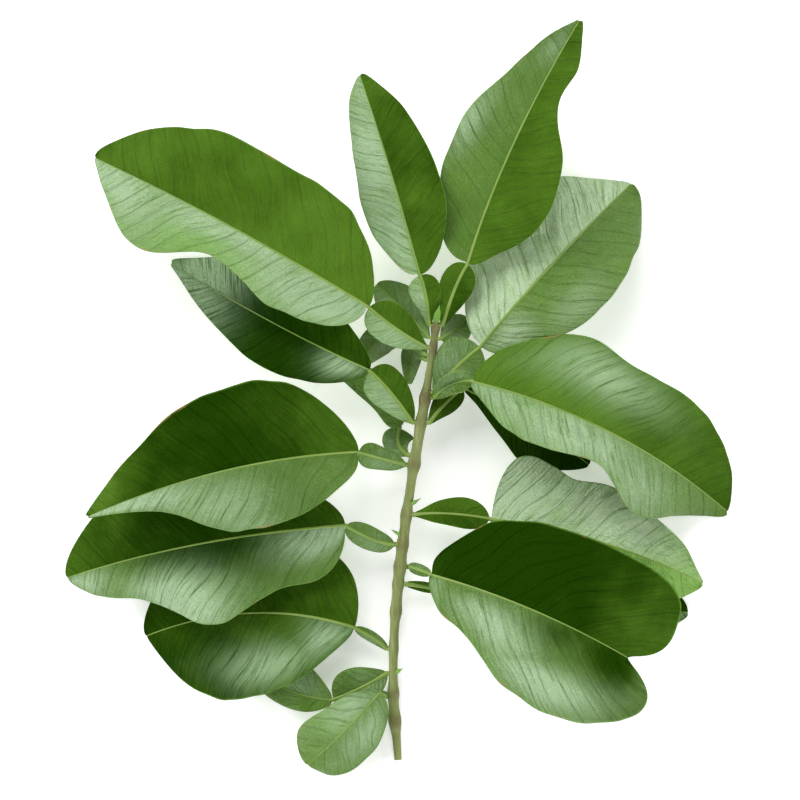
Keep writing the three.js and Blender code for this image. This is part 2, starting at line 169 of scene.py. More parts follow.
# Softboxes around the sprig: name, place, power in watts, width and depth in metres.
LIGHTS = [
    ("window", (-0.5, 1.5, 1.6), 48.0, 2.2, 1.3),
    ("left_fill", (-2.0, -0.2, 0.9), 30.0, 1.4, 0.9),
    ("right_fill", (2.0, -0.2, 0.9), 30.0, 1.4, 0.9),
    ("front_fill", (0.2, -2.0, 0.9), 26.0, 1.6, 0.8),
]

# base, middle and tip are points on a blade's midrib. left and right are the half-widths
# along it, as seen when looking from base to tip, spaced evenly from end to end of a half
# circle, so that equal numbers make an ellipse. rise is how steeply each half climbs away
# from the midrib, in degrees. curl turns the margins down or up. ripple is the height and
# number of the waves along the margins. lobe carries the two halves past a notched tip.
LEAVES = [
    {  # short round leaf beside the cut end
        "name": "01", "tone": "mid", "node": -119.5,
        "wing": {
            "middle": [-6.2, -118.9, 8.1], "end": [-7.8, -118, 9.5],
            "half": [0.5, 1, 1, 1], "rise": [0, 0],
        },
        "base": [-8.5, -117.8, 9.8], "middle": [-21.5, -132, 11], "tip": [-37, -147, 0.2],
        "left": [12, 12, 13, 14, 15, 15, 15], "right": [8, 8, 10, 11, 15, 18, 19],
        "rise": [[18, 14, 8], [16, 20, 10]], "curl": -16, "ripple": [0.8, 3],
    },
    {  # small leaf tucked under the third
        "name": "02", "tone": "mid", "node": -110,
        "wing": {
            "middle": [-15.5, -115.6, 7.5], "end": [-26.6, -120.4, 7.2],
            "half": [3, 5, 8, 10, 11], "rise": [14, 20],
        },
        "base": [-27.4, -120.8, 7], "middle": [-43, -117.4, 5.4], "tip": [-60, -110, 0.2],
        "left": [4, 5, 6, 6, 5, 5], "right": [6, 8, 11, 12, 10, 8],
        "rise": [[10, 4, 0], [8, 4, 0]], "curl": -10, "ripple": [0.3, 2],
    },
    {  # broad dark leaf low on the left
        "name": "03", "tone": "dark", "node": -100,
        "wing": {
            "middle": [-9.5, -96.4, 8.2], "end": [-17.6, -91.8, 11],
            "half": [0.6, 1, 1.6, 2], "rise": [10, 10],
        },
        "base": [-18.4, -91.3, 11.4], "middle": [-60, -85.4, 13.6], "tip": [-102, -95, 3],
        "left": [13, 23, 31, 33, 36, 38, 34], "right": [38, 38, 34, 30, 28, 24, 20],
        "rise": [[14, 12, 4], [6, 4, 2]], "curl": -16, "ripple": [1.2, 3],
    },
    {  # hidden leaf low on the right
        "name": "04", "tone": "dark", "node": -74,
        "wing": {
            "middle": [8, -74.8, 8.6], "end": [15, -76.2, 8.4],
            "half": [0.8, 1, 1.6, 2], "rise": [6, 6],
        },
        "base": [15.9, -76.4, 8.4], "middle": [66, -82, 7.6], "tip": [116, -85.6, 0.2],
        "left": [8, 12, 17, 20, 20, 18, 14], "right": [8, 10, 14, 17, 16, 11, 8],
        "rise": [[2, 0, 0], [2, 2, 2]], "curl": -6, "ripple": [0.6, 3],
    },
    {  # big dark leaf with a notched tip
        "name": "05", "tone": "dark", "node": -67,
        "wing": {
            "middle": [6.4, -67.6, 11.8], "end": [12, -69.6, 15.4],
            "half": [0.8, 1.2, 1.8, 2], "rise": [8, 8],
        },
        "base": [12.8, -70, 16], "middle": [52.8, -83.6, 31], "tip": [91, -103, 23],
        "left": [25, 27, 34, 35, 40, 47, 44], "right": [24, 23, 21, 32, 36, 38, 40],
        "rise": [[20, 18, 4], [12, 18, 22]], "curl": -14, "ripple": [1.6, 3], "lobe": [17, 19],
    },
    {  # long leaf whose upper half lies in the shade
        "name": "06", "tone": "mid", "node": -58,
        "wing": {
            "middle": [-10.6, -56, 14], "end": [-21.4, -50.6, 17.6],
            "half": [1, 3, 4, 5, 5], "rise": [16, 26],
        },
        "base": [-22.2, -50.2, 18], "middle": [-80, -57.6, 18.6], "tip": [-134, -71.6, -1.5],
        "left": [37, 35, 27, 33, 19, 16, 14], "right": [20, 22, 24, 26, 28, 28, 22],
        "rise": [[8, 20, 8], [4, -4, -6]], "curl": -12, "ripple": [1.2, 3],
    },
    {  # pale leaf under the notched one
        "name": "07", "tone": "pale", "node": -46,
        "wing": {
            "middle": [20, -45.8, 14.6], "end": [35.6, -47.6, 15.2],
            "half": [1, 2, 5, 7, 7, 4], "rise": [8, 56],
        },
        "base": [36.6, -47.9, 15.4], "middle": [80.5, -57, 19], "tip": [121.6, -73.6, 7],
        "left": [60, 54, 38, 23, 21, 17, 14, 7, 4], "right": [16, 19, 21, 22, 21, 18, 9],
        "rise": [[-6, -10, -8], [14, 10, 4]], "curl": 8, "ripple": [1.0, 3],
    },
    {  # small leaf behind the stem
        "name": "08", "tone": "pale", "node": -22,
        "wing": {
            "middle": [-0.4, -18, 8], "end": [-0.2, -11.6, 8.4],
            "half": [0.4, 1.5, 4, 6, 7, 7], "rise": [10, 10],
        },
        "base": [-0.2, -10.7, 8.6], "middle": [-11, 2, 9.6], "tip": [-27, 14, 8],
        "left": [6, 5, 3, 3, 3, 3], "right": [6, 7, 8, 8, 7, 5],
        "rise": [[8, 4, 0], [6, 2, 0]], "curl": -8, "ripple": [0.5, 2],
    },
    {  # dark leaf in the middle of the left side
        "name": "09", "tone": "dark", "node": -26,
        "wing": {
            "middle": [-7.6, -23.4, 18.4], "end": [-16.4, -21, 23.4],
            "half": [1, 3, 4, 6, 7], "rise": [20, 24],
        },
        "base": [-17.2, -20.8, 23.9], "middle": [-71, -28.4, 38], "tip": [-124.6, -46.6, 20],
        "left": [21, 24, 26, 25, 10, 4, 3], "right": [22, 29, 35, 30, 21, 12, 5],
        "rise": [[22, 28, 50], [16, 18, 14]], "curl": -16, "ripple": [1.2, 3],
    },
    {  # narrow leaf under the right-hand ones
        "name": "10", "tone": "dark", "node": -9,
        "wing": {
            "middle": [17.6, -2, 12.4], "end": [24.8, 4.6, 12.8],
            "half": [1, 2, 4, 5, 5], "rise": [10, 6],
        },
        "base": [26, 4.6, 12.7], "middle": [52, -9.4, 11], "tip": [76, -26, 4],
        "left": [6, 8, 10, 11, 10, 7], "right": [2, 4, 10, 15, 11, 6],
        "rise": [[4, 2, 0], [4, 2, 0]], "curl": -8, "ripple": [0.5, 2],
    },
    {  # leaf under the big upper one
        "name": "11", "tone": "dark", "node": -9,
        "wing": {
            "middle": [-3.6, 2.8, 20], "end": [-12, 11.6, 21.4],
            "half": [1, 4, 6, 8, 9, 7], "rise": [18, 16],
        },
        "base": [-12.8, 12.4, 21.5], "middle": [-51, 31, 25], "tip": [-92, 55, 0.6],
        "left": [14, 14, 17, 17, 12, 6, 4], "right": [13, 15, 18, 20, 18, 13, 9],
        "rise": [[14, 16, 2], [44, 26, 0]], "curl": -18, "ripple": [1.2, 3],
    },
    {  # long glossy leaf on the right
        "name": "12", "tone": "mid", "node": 1,
        "wing": {
            "middle": [20.6, 6.2, 23.4], "end": [28.4, 7.6, 26.8],
            "half": [1, 3, 5, 6, 6], "rise": [50, 56],
        },
        "base": [29.3, 7.2, 27.2], "middle": [83.4, -12.8, 34], "tip": [131.8, -44.8, -1],
        "left": [20, 29, 33, 28, 28, 25, 24], "right": [13, 14, 19, 18, 13, 25, 20, 15, 13],
        "rise": [[14, 10, 2], [26, 24, 4]], "curl": -14, "ripple": [1.4, 3],
    },
    {  # broad pale leaf behind the top pair
        "name": "13", "tone": "pale", "node": 3,
        "wing": {
            "middle": [22.6, 13, 19.6], "end": [31.8, 21, 20.6],
            "half": [1, 4, 8, 10, 10, 8], "rise": [2, 10],
        },
        "base": [32.6, 21.8, 20.7], "middle": [62.4, 56, 24], "tip": [93, 87, 0],
        "left": [25, 28, 31, 32, 31, 17, 12], "right": [24, 23, 25, 26, 24, 22, 24],
        "rise": [[-10, -10, -6], [12, 14, 8]], "curl": -6, "ripple": [1.0, 3],
    },
    {  # big leaf at the top left
        "name": "14", "tone": "mid", "node": 21,
        "wing": {
            "middle": [-1.8, 28.6, 25.6], "end": [-12.2, 36.8, 29.6],
            "half": [1, 3, 6, 8, 9, 7], "rise": [20, 18],
        },
        "base": [-13, 37.4, 29.9], "middle": [-66, 68, 43], "tip": [-121.4, 96.4, 27],
        "left": [24, 26, 23, 14, 27, 17, 9], "right": [28, 34, 32, 30, 21],
        "rise": [[16, 24, 16], [10, 14, 6]], "curl": -12, "ripple": [1.6, 3],
    },
    {  # upright leaf at the top
        "name": "15", "tone": "mid", "node": 30,
        "wing": {
            "middle": [10.6, 40.4, 24.8], "end": [8, 49.6, 27.6],
            "half": [0.4, 2, 5, 7, 7], "rise": [10, 24],
        },
        "base": [7.7, 50.4, 27.8], "middle": [-3.6, 90, 37], "tip": [-16, 129.4, 26],
        "left": [15, 15, 16, 14, 12, 11, 8], "right": [16, 17, 19, 17, 15, 11, 8],
        "rise": [[-8, -16, -10], [14, 20, 8]], "curl": -10, "ripple": [1.0, 3],
    },
    {  # tall leaf leaning right at the top
        "name": "16", "tone": "mid", "node": 30,
        "wing": {
            "middle": [21.8, 44, 25.8], "end": [26.8, 54, 29.8],
            "half": [1, 2.5, 5, 6.5, 6.5, 5], "rise": [18, 18],
        },
        "base": [27.1, 54.9, 30.1], "middle": [45.2, 102, 43], "tip": [71.4, 151, 30],
        "left": [25, 25, 24, 23, 16, 11, 6], "right": [18, 18, 23, 25, 21, 9, 12, 9, 6],
        "rise": [[4, -4, -8], [14, 14, 10]], "curl": -16, "ripple": [1.4, 3],
    },
]

# Young leaves of the growing tip, each still one piece with its stalk.
YOUNG_LEAVES = [
    {
        "name": "1", "node": 25, "middle": [1.4, 36, 17.4], "tip": [-9.4, 46.4, 16],
        "left": [1, 4, 8, 7, 5], "right": [1, 4, 8, 7, 5], "rise": [[10, 4], [8, 4]],
    },
    {
        "name": "2", "node": 16, "middle": [5.6, 18.6, 13], "tip": [3.6, 6.4, 11.6],
        "left": [1, 2, 3, 3, 2], "right": [1, 3, 4, 3, 2], "rise": [[8, 4], [8, 4]],
    },
    {
        "name": "3", "node": 18, "middle": [-4.6, 25.4, 15], "tip": [-16, 13.6, 13],
        "left": [1, 2, 5, 6, 4], "right": [1, 2, 5, 6, 4], "rise": [[8, 4], [8, 4]],
    },
    {
        "name": "4", "node": 24.5, "middle": [21.4, 28, 15], "tip": [27, 33, 13.4],
        "left": [0.5, 3, 5, 5, 4], "right": [2, 5, 6, 6, 4], "rise": [[10, 6], [10, 6]],
    },
]

# Buds and short thorns in the leaf corners: y of the node, direction, length, thickness.
BUDS = [
    {"name": "bud_01", "node": -110.2, "toward": [0.9, 0.5, 0.5], "length": 3.2, "radius": 0.9},
    {"name": "thorn_01", "node": -55, "toward": [-0.8, 0.5, 0.6], "length": 4.6, "radius": 0.7},
    {"name": "thorn_02", "node": -42.6, "toward": [0.9, 0.55, 0.6], "length": 5.4, "radius": 0.8},
    {"name": "terminal_bud", "node": 31, "toward": [0.12, 0.6, 1], "length": 12, "radius": 1.3},
]

# Light, shade and sheen painted on each blade. tone is how pale its left and right halves are
# painted from base to tip, 0 deep green to 1 pale: mostly painted light and shade, paler where a
# half faces the light and deeper where it lies in shade, partly the leaf's own green. A patch of
# painted sheen, a painted reflection of the light, is the half, its place along the midrib and out
# from it, its length and breadth as shares of the leaf, its strength. A strength below 0 makes
# the patch painted shade, a deeper green, instead.
LOOKS = {
    "01": {"tone": [[0.5, 0.5, 0.5], [0.6, 0.7, 0.6]], "crinkle": 1.2, "painted_sheen": [
        ("right", 0.3, 0.5, 0.3, 0.6, 0.7), ("left", 0.4, 0.5, 0.35, 0.4, 0.6)]},
    "02": {"tone": [[0.6, 0.6], [0.6, 0.6]], "crinkle": 0.6, "painted_sheen": [
        ("right", 0.5, 0.4, 0.3, 0.6, 0.5)]},
    "03": {"tone": [[0.28, 0.3, 0.2, 0.15], [0.3, 0.2, 0.15, 0.1]], "crinkle": 1.0, "painted_sheen": [
        ("left", 0.12, 0.4, 0.12, 0.4, 0.7), ("left", 0.4, 0.65, 0.25, 0.25, 0.65)]},
    "04": {"tone": [[0.15, 0.15], [0.2, 0.3]], "crinkle": 0.6, "painted_sheen": [
        ("right", 0.85, 0.4, 0.2, 0.6, 0.6)]},
    "05": {"tone": [[0.1, 0.02, 0.1, 0.3], [0.65, 0.6, 0.5, 0.35]], "crinkle": 1.6, "painted_sheen": [
        ("right", 0.04, 0.5, 0.04, 0.5, 0.4), ("right", 0.35, 0.5, 0.2, 0.3, 0.9),
        ("right", 0.62, 0.75, 0.2, 0.2, 1.0), ("right", 0.6, 0.1, 0.4, 0.3, -0.25),
        ("right", 0.92, 0.4, 0.1, 0.5, -0.2)]},
    "06": {"tone": [[0.45, 0.4, 0.4, 0.5], [0.2, 0.05, 0.1, 0.25]], "crinkle": 0.8, "painted_sheen": [
        ("left", 0.1, 0.25, 0.14, 0.3, 1.1), ("left", 0.6, 0.75, 0.16, 0.4, 1.2),
        ("left", 0.95, 0.5, 0.1, 0.5, 0.8), ("left", 0.45, 0.05, 0.3, 0.4, -0.35),
        ("left", 0.3, 0.6, 0.1, 0.3, -0.1)]},
    "07": {"tone": [[1.0, 1.0, 1.0, 0.9], [0.7, 0.8, 0.8, 0.9]], "crinkle": 1.2, "painted_sheen": [
        ("left", 0.1, 0.5, 0.3, 0.9, 1.0), ("left", 0.5, 0.6, 0.35, 0.8, 1.0),
        ("left", 0.8, 0.4, 0.12, 0.4, 0.5)]},
    "08": {"tone": [[0.7, 0.7], [0.7, 0.7]], "crinkle": 0.5, "painted_sheen": []},
    "09": {"tone": [[0.42, 0.45, 0.45, 0.6], [0.35, 0.2, 0.05, 0.2, 0.45]], "crinkle": 0.9, "painted_sheen": [
        ("left", 0.55, 0.6, 0.2, 0.5, 0.5), ("left", 0.85, 0.4, 0.25, 0.5, 1.2),
        ("left", 0.45, 0.9, 0.12, 0.2, 0.4)]},
    "10": {"tone": [[0.1, 0.1], [0.1, 0.1]], "crinkle": 0.5, "painted_sheen": []},
    "11": {"tone": [[0.3, 0.1, 0.1, 0.2], [0.2, 0.1, 0.1, 0.3]], "crinkle": 1.5, "painted_sheen": [
        ("left", 0.13, 0.3, 0.1, 0.4, 0.9), ("right", 0.85, 0.4, 0.15, 0.8, 1.2),
        ("left", 0.85, 0.5, 0.15, 0.8, 0.9)]},
    "12": {"tone": [[0.45, 0.4, 0.3, 0.2], [0.7, 0.7, 0.5, 0.4]], "crinkle": 1.1, "painted_sheen": [
        ("left", 0.4, 0.65, 0.2, 0.3, 0.7), ("right", 0.1, 0.4, 0.15, 0.6, 0.7),
        ("right", 0.4, 0.5, 0.25, 0.6, 0.9), ("right", 0.65, 0.6, 0.12, 0.5, 0.6)]},
    "13": {"tone": [[0.8, 0.9, 0.9, 0.9], [0.5, 0.45, 0.4, 0.4]], "crinkle": 1.3, "painted_sheen": [
        ("left", 0.25, 0.5, 0.5, 1.0, 1.0), ("left", 0.75, 0.5, 0.4, 0.9, 1.0),
        ("right", 0.12, 0.4, 0.1, 0.4, 0.6), ("right", 0.4, 0.75, 0.15, 0.3, 0.3)]},
    "14": {"tone": [[0.7, 0.8, 0.8, 0.7], [0.45, 0.35, 0.3, 0.35]], "crinkle": 0.9, "painted_sheen": [
        ("left", 0.15, 0.45, 0.3, 0.6, 1.0), ("left", 0.5, 0.2, 0.4, 0.35, 0.9),
        ("left", 0.9, 0.4, 0.2, 0.6, 0.9)]},
    "15": {"tone": [[0.6, 0.6, 0.6, 0.6], [0.3, 0.2, 0.2, 0.3]], "crinkle": 0.9, "painted_sheen": [
        ("left", 0.2, 0.5, 0.3, 0.7, 0.8), ("left", 0.6, 0.5, 0.35, 0.8, 0.9),
        ("left", 0.9, 0.3, 0.2, 0.6, 0.6)]},
    "16": {"tone": [[0.36, 0.4, 0.4, 0.36], [0.3, 0.3, 0.3, 0.3]], "crinkle": 0.8, "painted_sheen": [
        ("left", 0.5, 0.9, 0.12, 0.25, 0.6), ("left", 0.88, 0.4, 0.06, 0.4, 0.3)]},
}
# Looks of the winged petioles and young leaves, with painted light, shade and sheen as above: a
# half-lit one is painted pale with sheen on its left half and in shade on its right, a deep one deep
# green all over.
SMALL_LOOK = {"tone": [[0.55, 0.6], [0.45, 0.5]], "crinkle": 0.5, "painted_sheen": [
    ("left", 0.5, 0.5, 0.4, 0.6, 0.4), ("right", 0.4, 0.5, 0.3, 0.5, 0.2)]}
DEEP_LOOK = {"tone": [[0.3, 0.35], [0.2, 0.25]], "crinkle": 0.4, "painted_sheen": []}
HALF_LIT_LOOK = {"tone": [[0.75, 0.8], [0.25, 0.3]], "crinkle": 0.5, "painted_sheen": [
    ("left", 0.5, 0.5, 0.5, 0.8, 0.75)]}
WING_LOOKS = {
    **dict.fromkeys(("petiole_04", "petiole_07", "petiole_10", "petiole_16"), DEEP_LOOK),
    **dict.fromkeys(("petiole_11", "petiole_14", "petiole_15"), HALF_LIT_LOOK),
}


# ---------------------------------------------------------------- settings
def colour(red, green, blue):
    """A display colour, 0 to 255 a channel, as Blender's linear values."""
    def linear(value):
        value /= 255
        return value / 12.92 if value <= 0.04045 else ((value + 0.055) / 1.055) ** 2.4

    return (linear(red), linear(green), linear(blue))


def length_setting(name, description, millimetres):
    return bpy.props.FloatProperty(
        name=name, description=description, default=millimetres * MM, min=0.0, subtype="DISTANCE",
        unit="LENGTH", precision=5,
    )


def colour_setting(name, description, red, green, blue):
    return bpy.props.FloatVectorProperty(
        name=name, description=description, default=colour(red, green, blue), subtype="COLOR",
        size=3, min=0.0, max=1.0,
    )


class SprigSizes(bpy.types.PropertyGroup):
    """Sizes that the looks are made from."""

    blade_thickness: length_setting("Blade thickness", "Thickness of a leaf blade", 0.5)
    wing_thickness: length_setting("Wing thickness", "Thickness of a winged petiole", 0.6)
    rib_radius: length_setting("Midrib radius", "Radius of a big blade's midrib at its base", 0.75)
    vein_gap: length_setting("Vein spacing", "Distance between side veins along the midrib", 7.5)
    vein_depth: length_setting("Vein depth", "How far the side veins are sunk", 0.13)
    crinkle: length_setting("Crinkle", "Height of the uneven swellings of a blade", 3.4)
    pucker: length_setting("Pucker", "Height of the puckers that run out along the side veins", 2.6)
    crinkle_size: length_setting("Crinkle size", "Distance between those swellings", 14)
    cell: length_setting("Mesh cell", "Distance between points on a blade", 0.95)
    bark_ridge: length_setting("Bark ridges", "Height of the long ridges on the stem", 0.16)
    lenticel: length_setting("Lenticel size", "Radius of a pale cork spot on the bark", 0.16)


class SprigColours(bpy.types.PropertyGroup):
    """Colours of the living parts."""

    deep: colour_setting("Deep green", "Shaded leaf halves", 26, 55, 3)
    middle: colour_setting("Leaf green", "Open leaf halves", 78, 115, 26)
    # light green is also the painted light on leaf halves that face the light
    light: colour_setting("Light green", "Young and pale leaves", 112, 156, 62)
    # painted sheen: the colour of a painted reflection of the light on the glossy leaves
    painted_sheen: colour_setting("Sheen", "Painted sheen on the leaves", 150, 178, 136)
    vein: colour_setting("Vein", "Side veins", 150, 180, 96)
    rib: colour_setting("Midrib", "Midribs and stalks", 118, 142, 58)
    under: colour_setting("Underside", "Lower face of the leaves", 132, 160, 92)
    dry: colour_setting("Dry edge", "Dry specks and margins", 150, 120, 70)
    bark: colour_setting("Bark", "Green bark of the stem", 118, 130, 72)
    old_bark: colour_setting("Old bark", "Brown bark at the nodes", 98, 94, 54)
    cork: colour_setting("Cork", "Lenticels and leaf scars", 158, 152, 118)
    wood: colour_setting("Wood", "The cut end", 196, 190, 146)
    floor: colour_setting("Floor", "The surface that the sprig lies on", 246, 246, 246)


# ---------------------------------------------------------------- curves and surfaces
def through(values, t):
    """A smooth curve through evenly spaced values, read at t from 0 to 1."""
    values = np.asarray(values, float)
    place = np.clip(t, 0, 1) * (len(values) - 1)
    i = np.minimum(np.floor(place).astype(int), len(values) - 2)
    f = place - i

    def at(k):
        return values[np.clip(k, 0, len(values) - 1)]

    a, b, c, d = at(i - 1), at(i), at(i + 1), at(i + 2)
    return b + 0.5 * f * (c - a + f * (2 * a - 5 * b + 4 * c - d + f * (3 * (b - c) + d - a)))


def smoothstep(x, low, high):
    t = np.clip((x - low) / (high - low), 0, 1)
    return t * t * (3 - 2 * t)


def unit(vectors):
    return vectors / np.linalg.norm(vectors, axis=-1, keepdims=True)


def along_midrib(leaf, u):
    """Points on the parabola through base, middle and tip, and its direction there."""
    base, middle, tip = (np.array(leaf[key], float) for key in ("base", "middle", "tip"))
    u = np.asarray(u, float)[..., None]
    point = (1 - u) * (1 - 2 * u) * base + 4 * u * (1 - u) * middle + u * (2 * u - 1) * tip
    slope = (4 * u - 3) * base + (4 - 8 * u) * middle + (4 * u - 1) * tip
    return point, unit(slope)


def stem_height(y):
    return (np.asarray(y, float) - STEM_START) / (STEM_END - STEM_START)


def stem_centre(y):
    h = stem_height(y)
    return np.stack([through(STEM_X, h), np.asarray(y, float), through(STEM_Z, h)], -1)


def stem_radius(y):
    swelling = sum(extra * np.exp(-(((y - at) / half) ** 2)) for at, extra, half in STEM_NODES)
    return through(STEM_RADIUS, stem_height(y)) + swelling


def beside_stem(y, target):
    """The point beside the stem's flank from which a stalk leaves."""
    centre = stem_centre(y)
    flank = unit(np.array([math.copysign(1, target[0] - centre[0]), 0, STALK_LIFT]))
    return centre + flank * (stem_radius(y) + GAP + STALK_HALF_WIDTH)


def past_tip(s):
    """How far a notched blade's halves run past the end of its midrib."""
    gone = np.maximum((s - LOBE_FULL) / (1 - LOBE_FULL), 0)
    return smoothstep(s, LOBE_START, LOBE_FULL) * (1 - gone**4)


def rest_on_table(z, low):
    """Nothing goes through the table: a margin that droops to it flattens out on it."""
    return low + 0.5 * (z - low + np.hypot(z - low, FLOOR_SOFTNESS))


def on_sheet(leaf, s, v):
    """A leaf's middle surface at s along it and v across it (-1 right, 1 left)."""
    reach = np.abs(v)
    right = v < 0
    side = np.where(right, -1.0, 1.0)
    u = (1 - np.cos(np.pi * s)) / 2
    point, line = along_midrib(leaf, u)
    across = unit(np.stack([-line[..., 1], line[..., 0], 0 * u], -1))
    up = np.cross(line, across)

    def on_halves(pair):
        return np.where(right, through(pair[1], s), through(pair[0], s))

    width = leaf["end"] + np.sin(np.pi * s) * on_halves([leaf["left"], leaf["right"]])
    tilt = np.radians(on_halves(leaf["rise"]))
    bend = math.radians(leaf["curl"])
    out = width * (np.sin(tilt + bend * reach) - np.sin(tilt)) / bend
    climb = width * (np.cos(tilt) - np.cos(tilt + bend * reach)) / bend
    wave_height, waves = leaf["ripple"]
    climb = climb + wave_height * reach**2 * np.sin(2 * np.pi * (waves * s + HALF_PHASE * right))
    lobe = np.where(right, leaf["lobe"][1], leaf["lobe"][0]) * past_tip(s) * reach**1.5
    point = point + line * lobe[..., None] + across * (side * out)[..., None]
    point = point + up * climb[..., None]
    turned = np.where(v == 0, 0, tilt + bend * reach)
    facing = up * np.cos(turned)[..., None] - across * (side * np.sin(turned))[..., None]
    return point, facing, u, width


def blade_leaf(leaf):
    return {"lobe": [0, 0], "end": BLADE_END, "rib_drop": RIB_DROP, **leaf}


def wing_leaf(leaf):
    wing = leaf["wing"]
    folds = [[END_FOLD * fold, fold, END_FOLD * fold] for fold in wing["rise"]]
    return {
        "base": beside_stem(leaf["node"], wing["middle"]), "middle": wing["middle"],
        "tip": wing["end"], "left": wing["half"], "right": wing["half"], "rise": folds,
        "curl": WING_CURL, "ripple": [0, 1], "lobe": [0, 0], "end": STALK_HALF_WIDTH,
        "rib_drop": 0,
    }


def young_leaf(leaf):
    return {
        "curl": YOUNG_CURL, "ripple": YOUNG_RIPPLE, "lobe": [0, 0], "end": STALK_HALF_WIDTH,
        "rib_drop": 0, "base": beside_stem(leaf["node"], leaf["middle"]), **leaf,
    }


def frame_shift():
    """What moves the tables' place for the sprig to the place that the frame gives it, in mm.

    One plain blade is worked out again, and its lowest corner is held against the frame's."""
    leaf = blade_leaf(next(entry for entry in LEAVES if entry["name"] == "14"))
    s, v = np.meshgrid(np.linspace(0, 1, PLAIN_STEPS + 1), PLAIN_COLUMNS, indexing="ij")
    point, facing, u, _ = on_sheet(leaf, s, np.array(v, float))
    rib = np.where(v == 0, leaf["rib_drop"] * (1 - RIB_FADE * u), 0)
    half = PLAIN_THICKNESS / 2
    point[..., 2] = rest_on_table(point[..., 2], half + rib)
    under = point - facing * (half + rib)[..., None]
    both = np.concatenate([(point + facing * half).reshape(-1, 3), under.reshape(-1, 3)])
    return np.array(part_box("blade_14")[0]) / MM - both.min(axis=0)


SHIFT = frame_shift()


# ---------------------------------------------------------------- meshes
def mesh_from(name, points, faces, attributes=(), uv=None):
    """A smooth mesh from points in mm, placed in the frame. faces is a list of index arrays."""
    mesh = bpy.data.meshes.new(name)
    corners = np.concatenate([f.ravel() for f in faces])
    sizes = np.concatenate([np.full(len(f), f.shape[1]) for f in faces])
    starts = np.concatenate([[0], np.cumsum(sizes)[:-1]])
    mesh.vertices.add(len(points))
    mesh.vertices.foreach_set("co", ((points + SHIFT) * MM).astype(np.float32).ravel())
    mesh.loops.add(len(corners))
    mesh.loops.foreach_set("vertex_index", corners.astype(np.int32))
    mesh.polygons.add(len(sizes))
    mesh.polygons.foreach_set("loop_start", starts.astype(np.int32))
    mesh.polygons.foreach_set("use_smooth", np.ones(len(sizes), bool))
    mesh.update(calc_edges=True)
    mesh.validate()
    for key, kind, domain, values in attributes:
        field = "vector" if kind == "FLOAT_VECTOR" else "value"
        layer = mesh.attributes.new(key, kind, domain)
        layer.data.foreach_set(field, np.asarray(values).ravel())
    if uv is not None:
        layer = mesh.uv_layers.new(name="leaf")
        layer.data.foreach_set("uv", uv[corners].astype(np.float32).ravel())
    return mesh


def new_object(name, mesh):
    piece = bpy.data.objects.new(name, mesh)
    bpy.context.scene.collection.objects.link(piece)
    return piece


def painted(look, u, v):
    """Painted tone, that is light and shade, and painted sheen over a leaf, from its entry in the
    table of looks.
    """
    right = v < 0
    reach = np.abs(v)
    tone = np.where(right, through(look["tone"][1], u), through(look["tone"][0], u))
    painted_sheen = np.zeros_like(tone)
    for half, at, out, length, breadth, strength in look["painted_sheen"]:
        here = right if half == "right" else ~right
        spot = here * np.exp(-(((u - at) / length) ** 2) - (((reach - out) / breadth) ** 2))
        painted_sheen = np.maximum(painted_sheen, strength * spot)
        tone = tone + min(strength, 0) * spot
    return tone, painted_sheen


def uneven(rng, s, right, length, spacing):
    """Random values from -1 to 1 along each half of a leaf, joined smoothly, spacing apart."""
    left_values, right_values = rng.uniform(-1, 1, (2, max(4, int(length / spacing))))
    return np.where(right, through(right_values, s), through(left_values, s))


def leaf_grid(length, widest, cell):
    """Places s along a leaf and v across it, a little closer together at the midrib."""
    rows = max(FEWEST_ROWS, round(length * ROWS_PER_CELL / cell))
    columns = 2 * max(FEWEST_COLUMNS, round(widest / cell))
    t = np.linspace(-1, 1, columns + 1)
    v = t * (1 - CROWDING + CROWDING * t * t)
    v[columns // 2] = 0
    return np.meshgrid(np.linspace(0, 1, rows + 1), v, indexing="ij")


def sheet_faces(rows, columns):
    """Top, underside and rim of a closed sheet, whose upper points come before its lower ones."""
    count = rows * columns
    index = np.arange(count).reshape(rows, columns)
    cells = np.stack([index[:-1, 1:], index[:-1, :-1], index[1:, :-1], index[1:, 1:]], -1)
    top = cells.reshape(-1, 4)
    ring = np.concatenate([index[0, :-1], index[:-1, -1], index[-1, :0:-1], index[:0:-1, 0]])
    following = np.roll(ring, -1)
    rim = np.stack([ring, following, following + count, ring + count], -1)
    return [top, top[:, ::-1] + count, rim]


def vein_count(rng, seed, u, along, out, gap):
    """Counts the side veins up a leaf. Each runs where the count is half past a whole number."""
    wander = through(rng.uniform(-VEIN_WANDER, VEIN_WANDER, WANDER_STEPS), u)
    wander = wander + np.where(out < 0, 0.5, 0)
    slant = VEIN_SLANT * np.abs(out) + VEIN_BEND * out**2
    weave = sum(
        share * np.sin(along / up + out / across + turn * seed)
        for share, up, across, turn in VEIN_WEAVES
    )
    return (along - slant) / gap + wander + weave


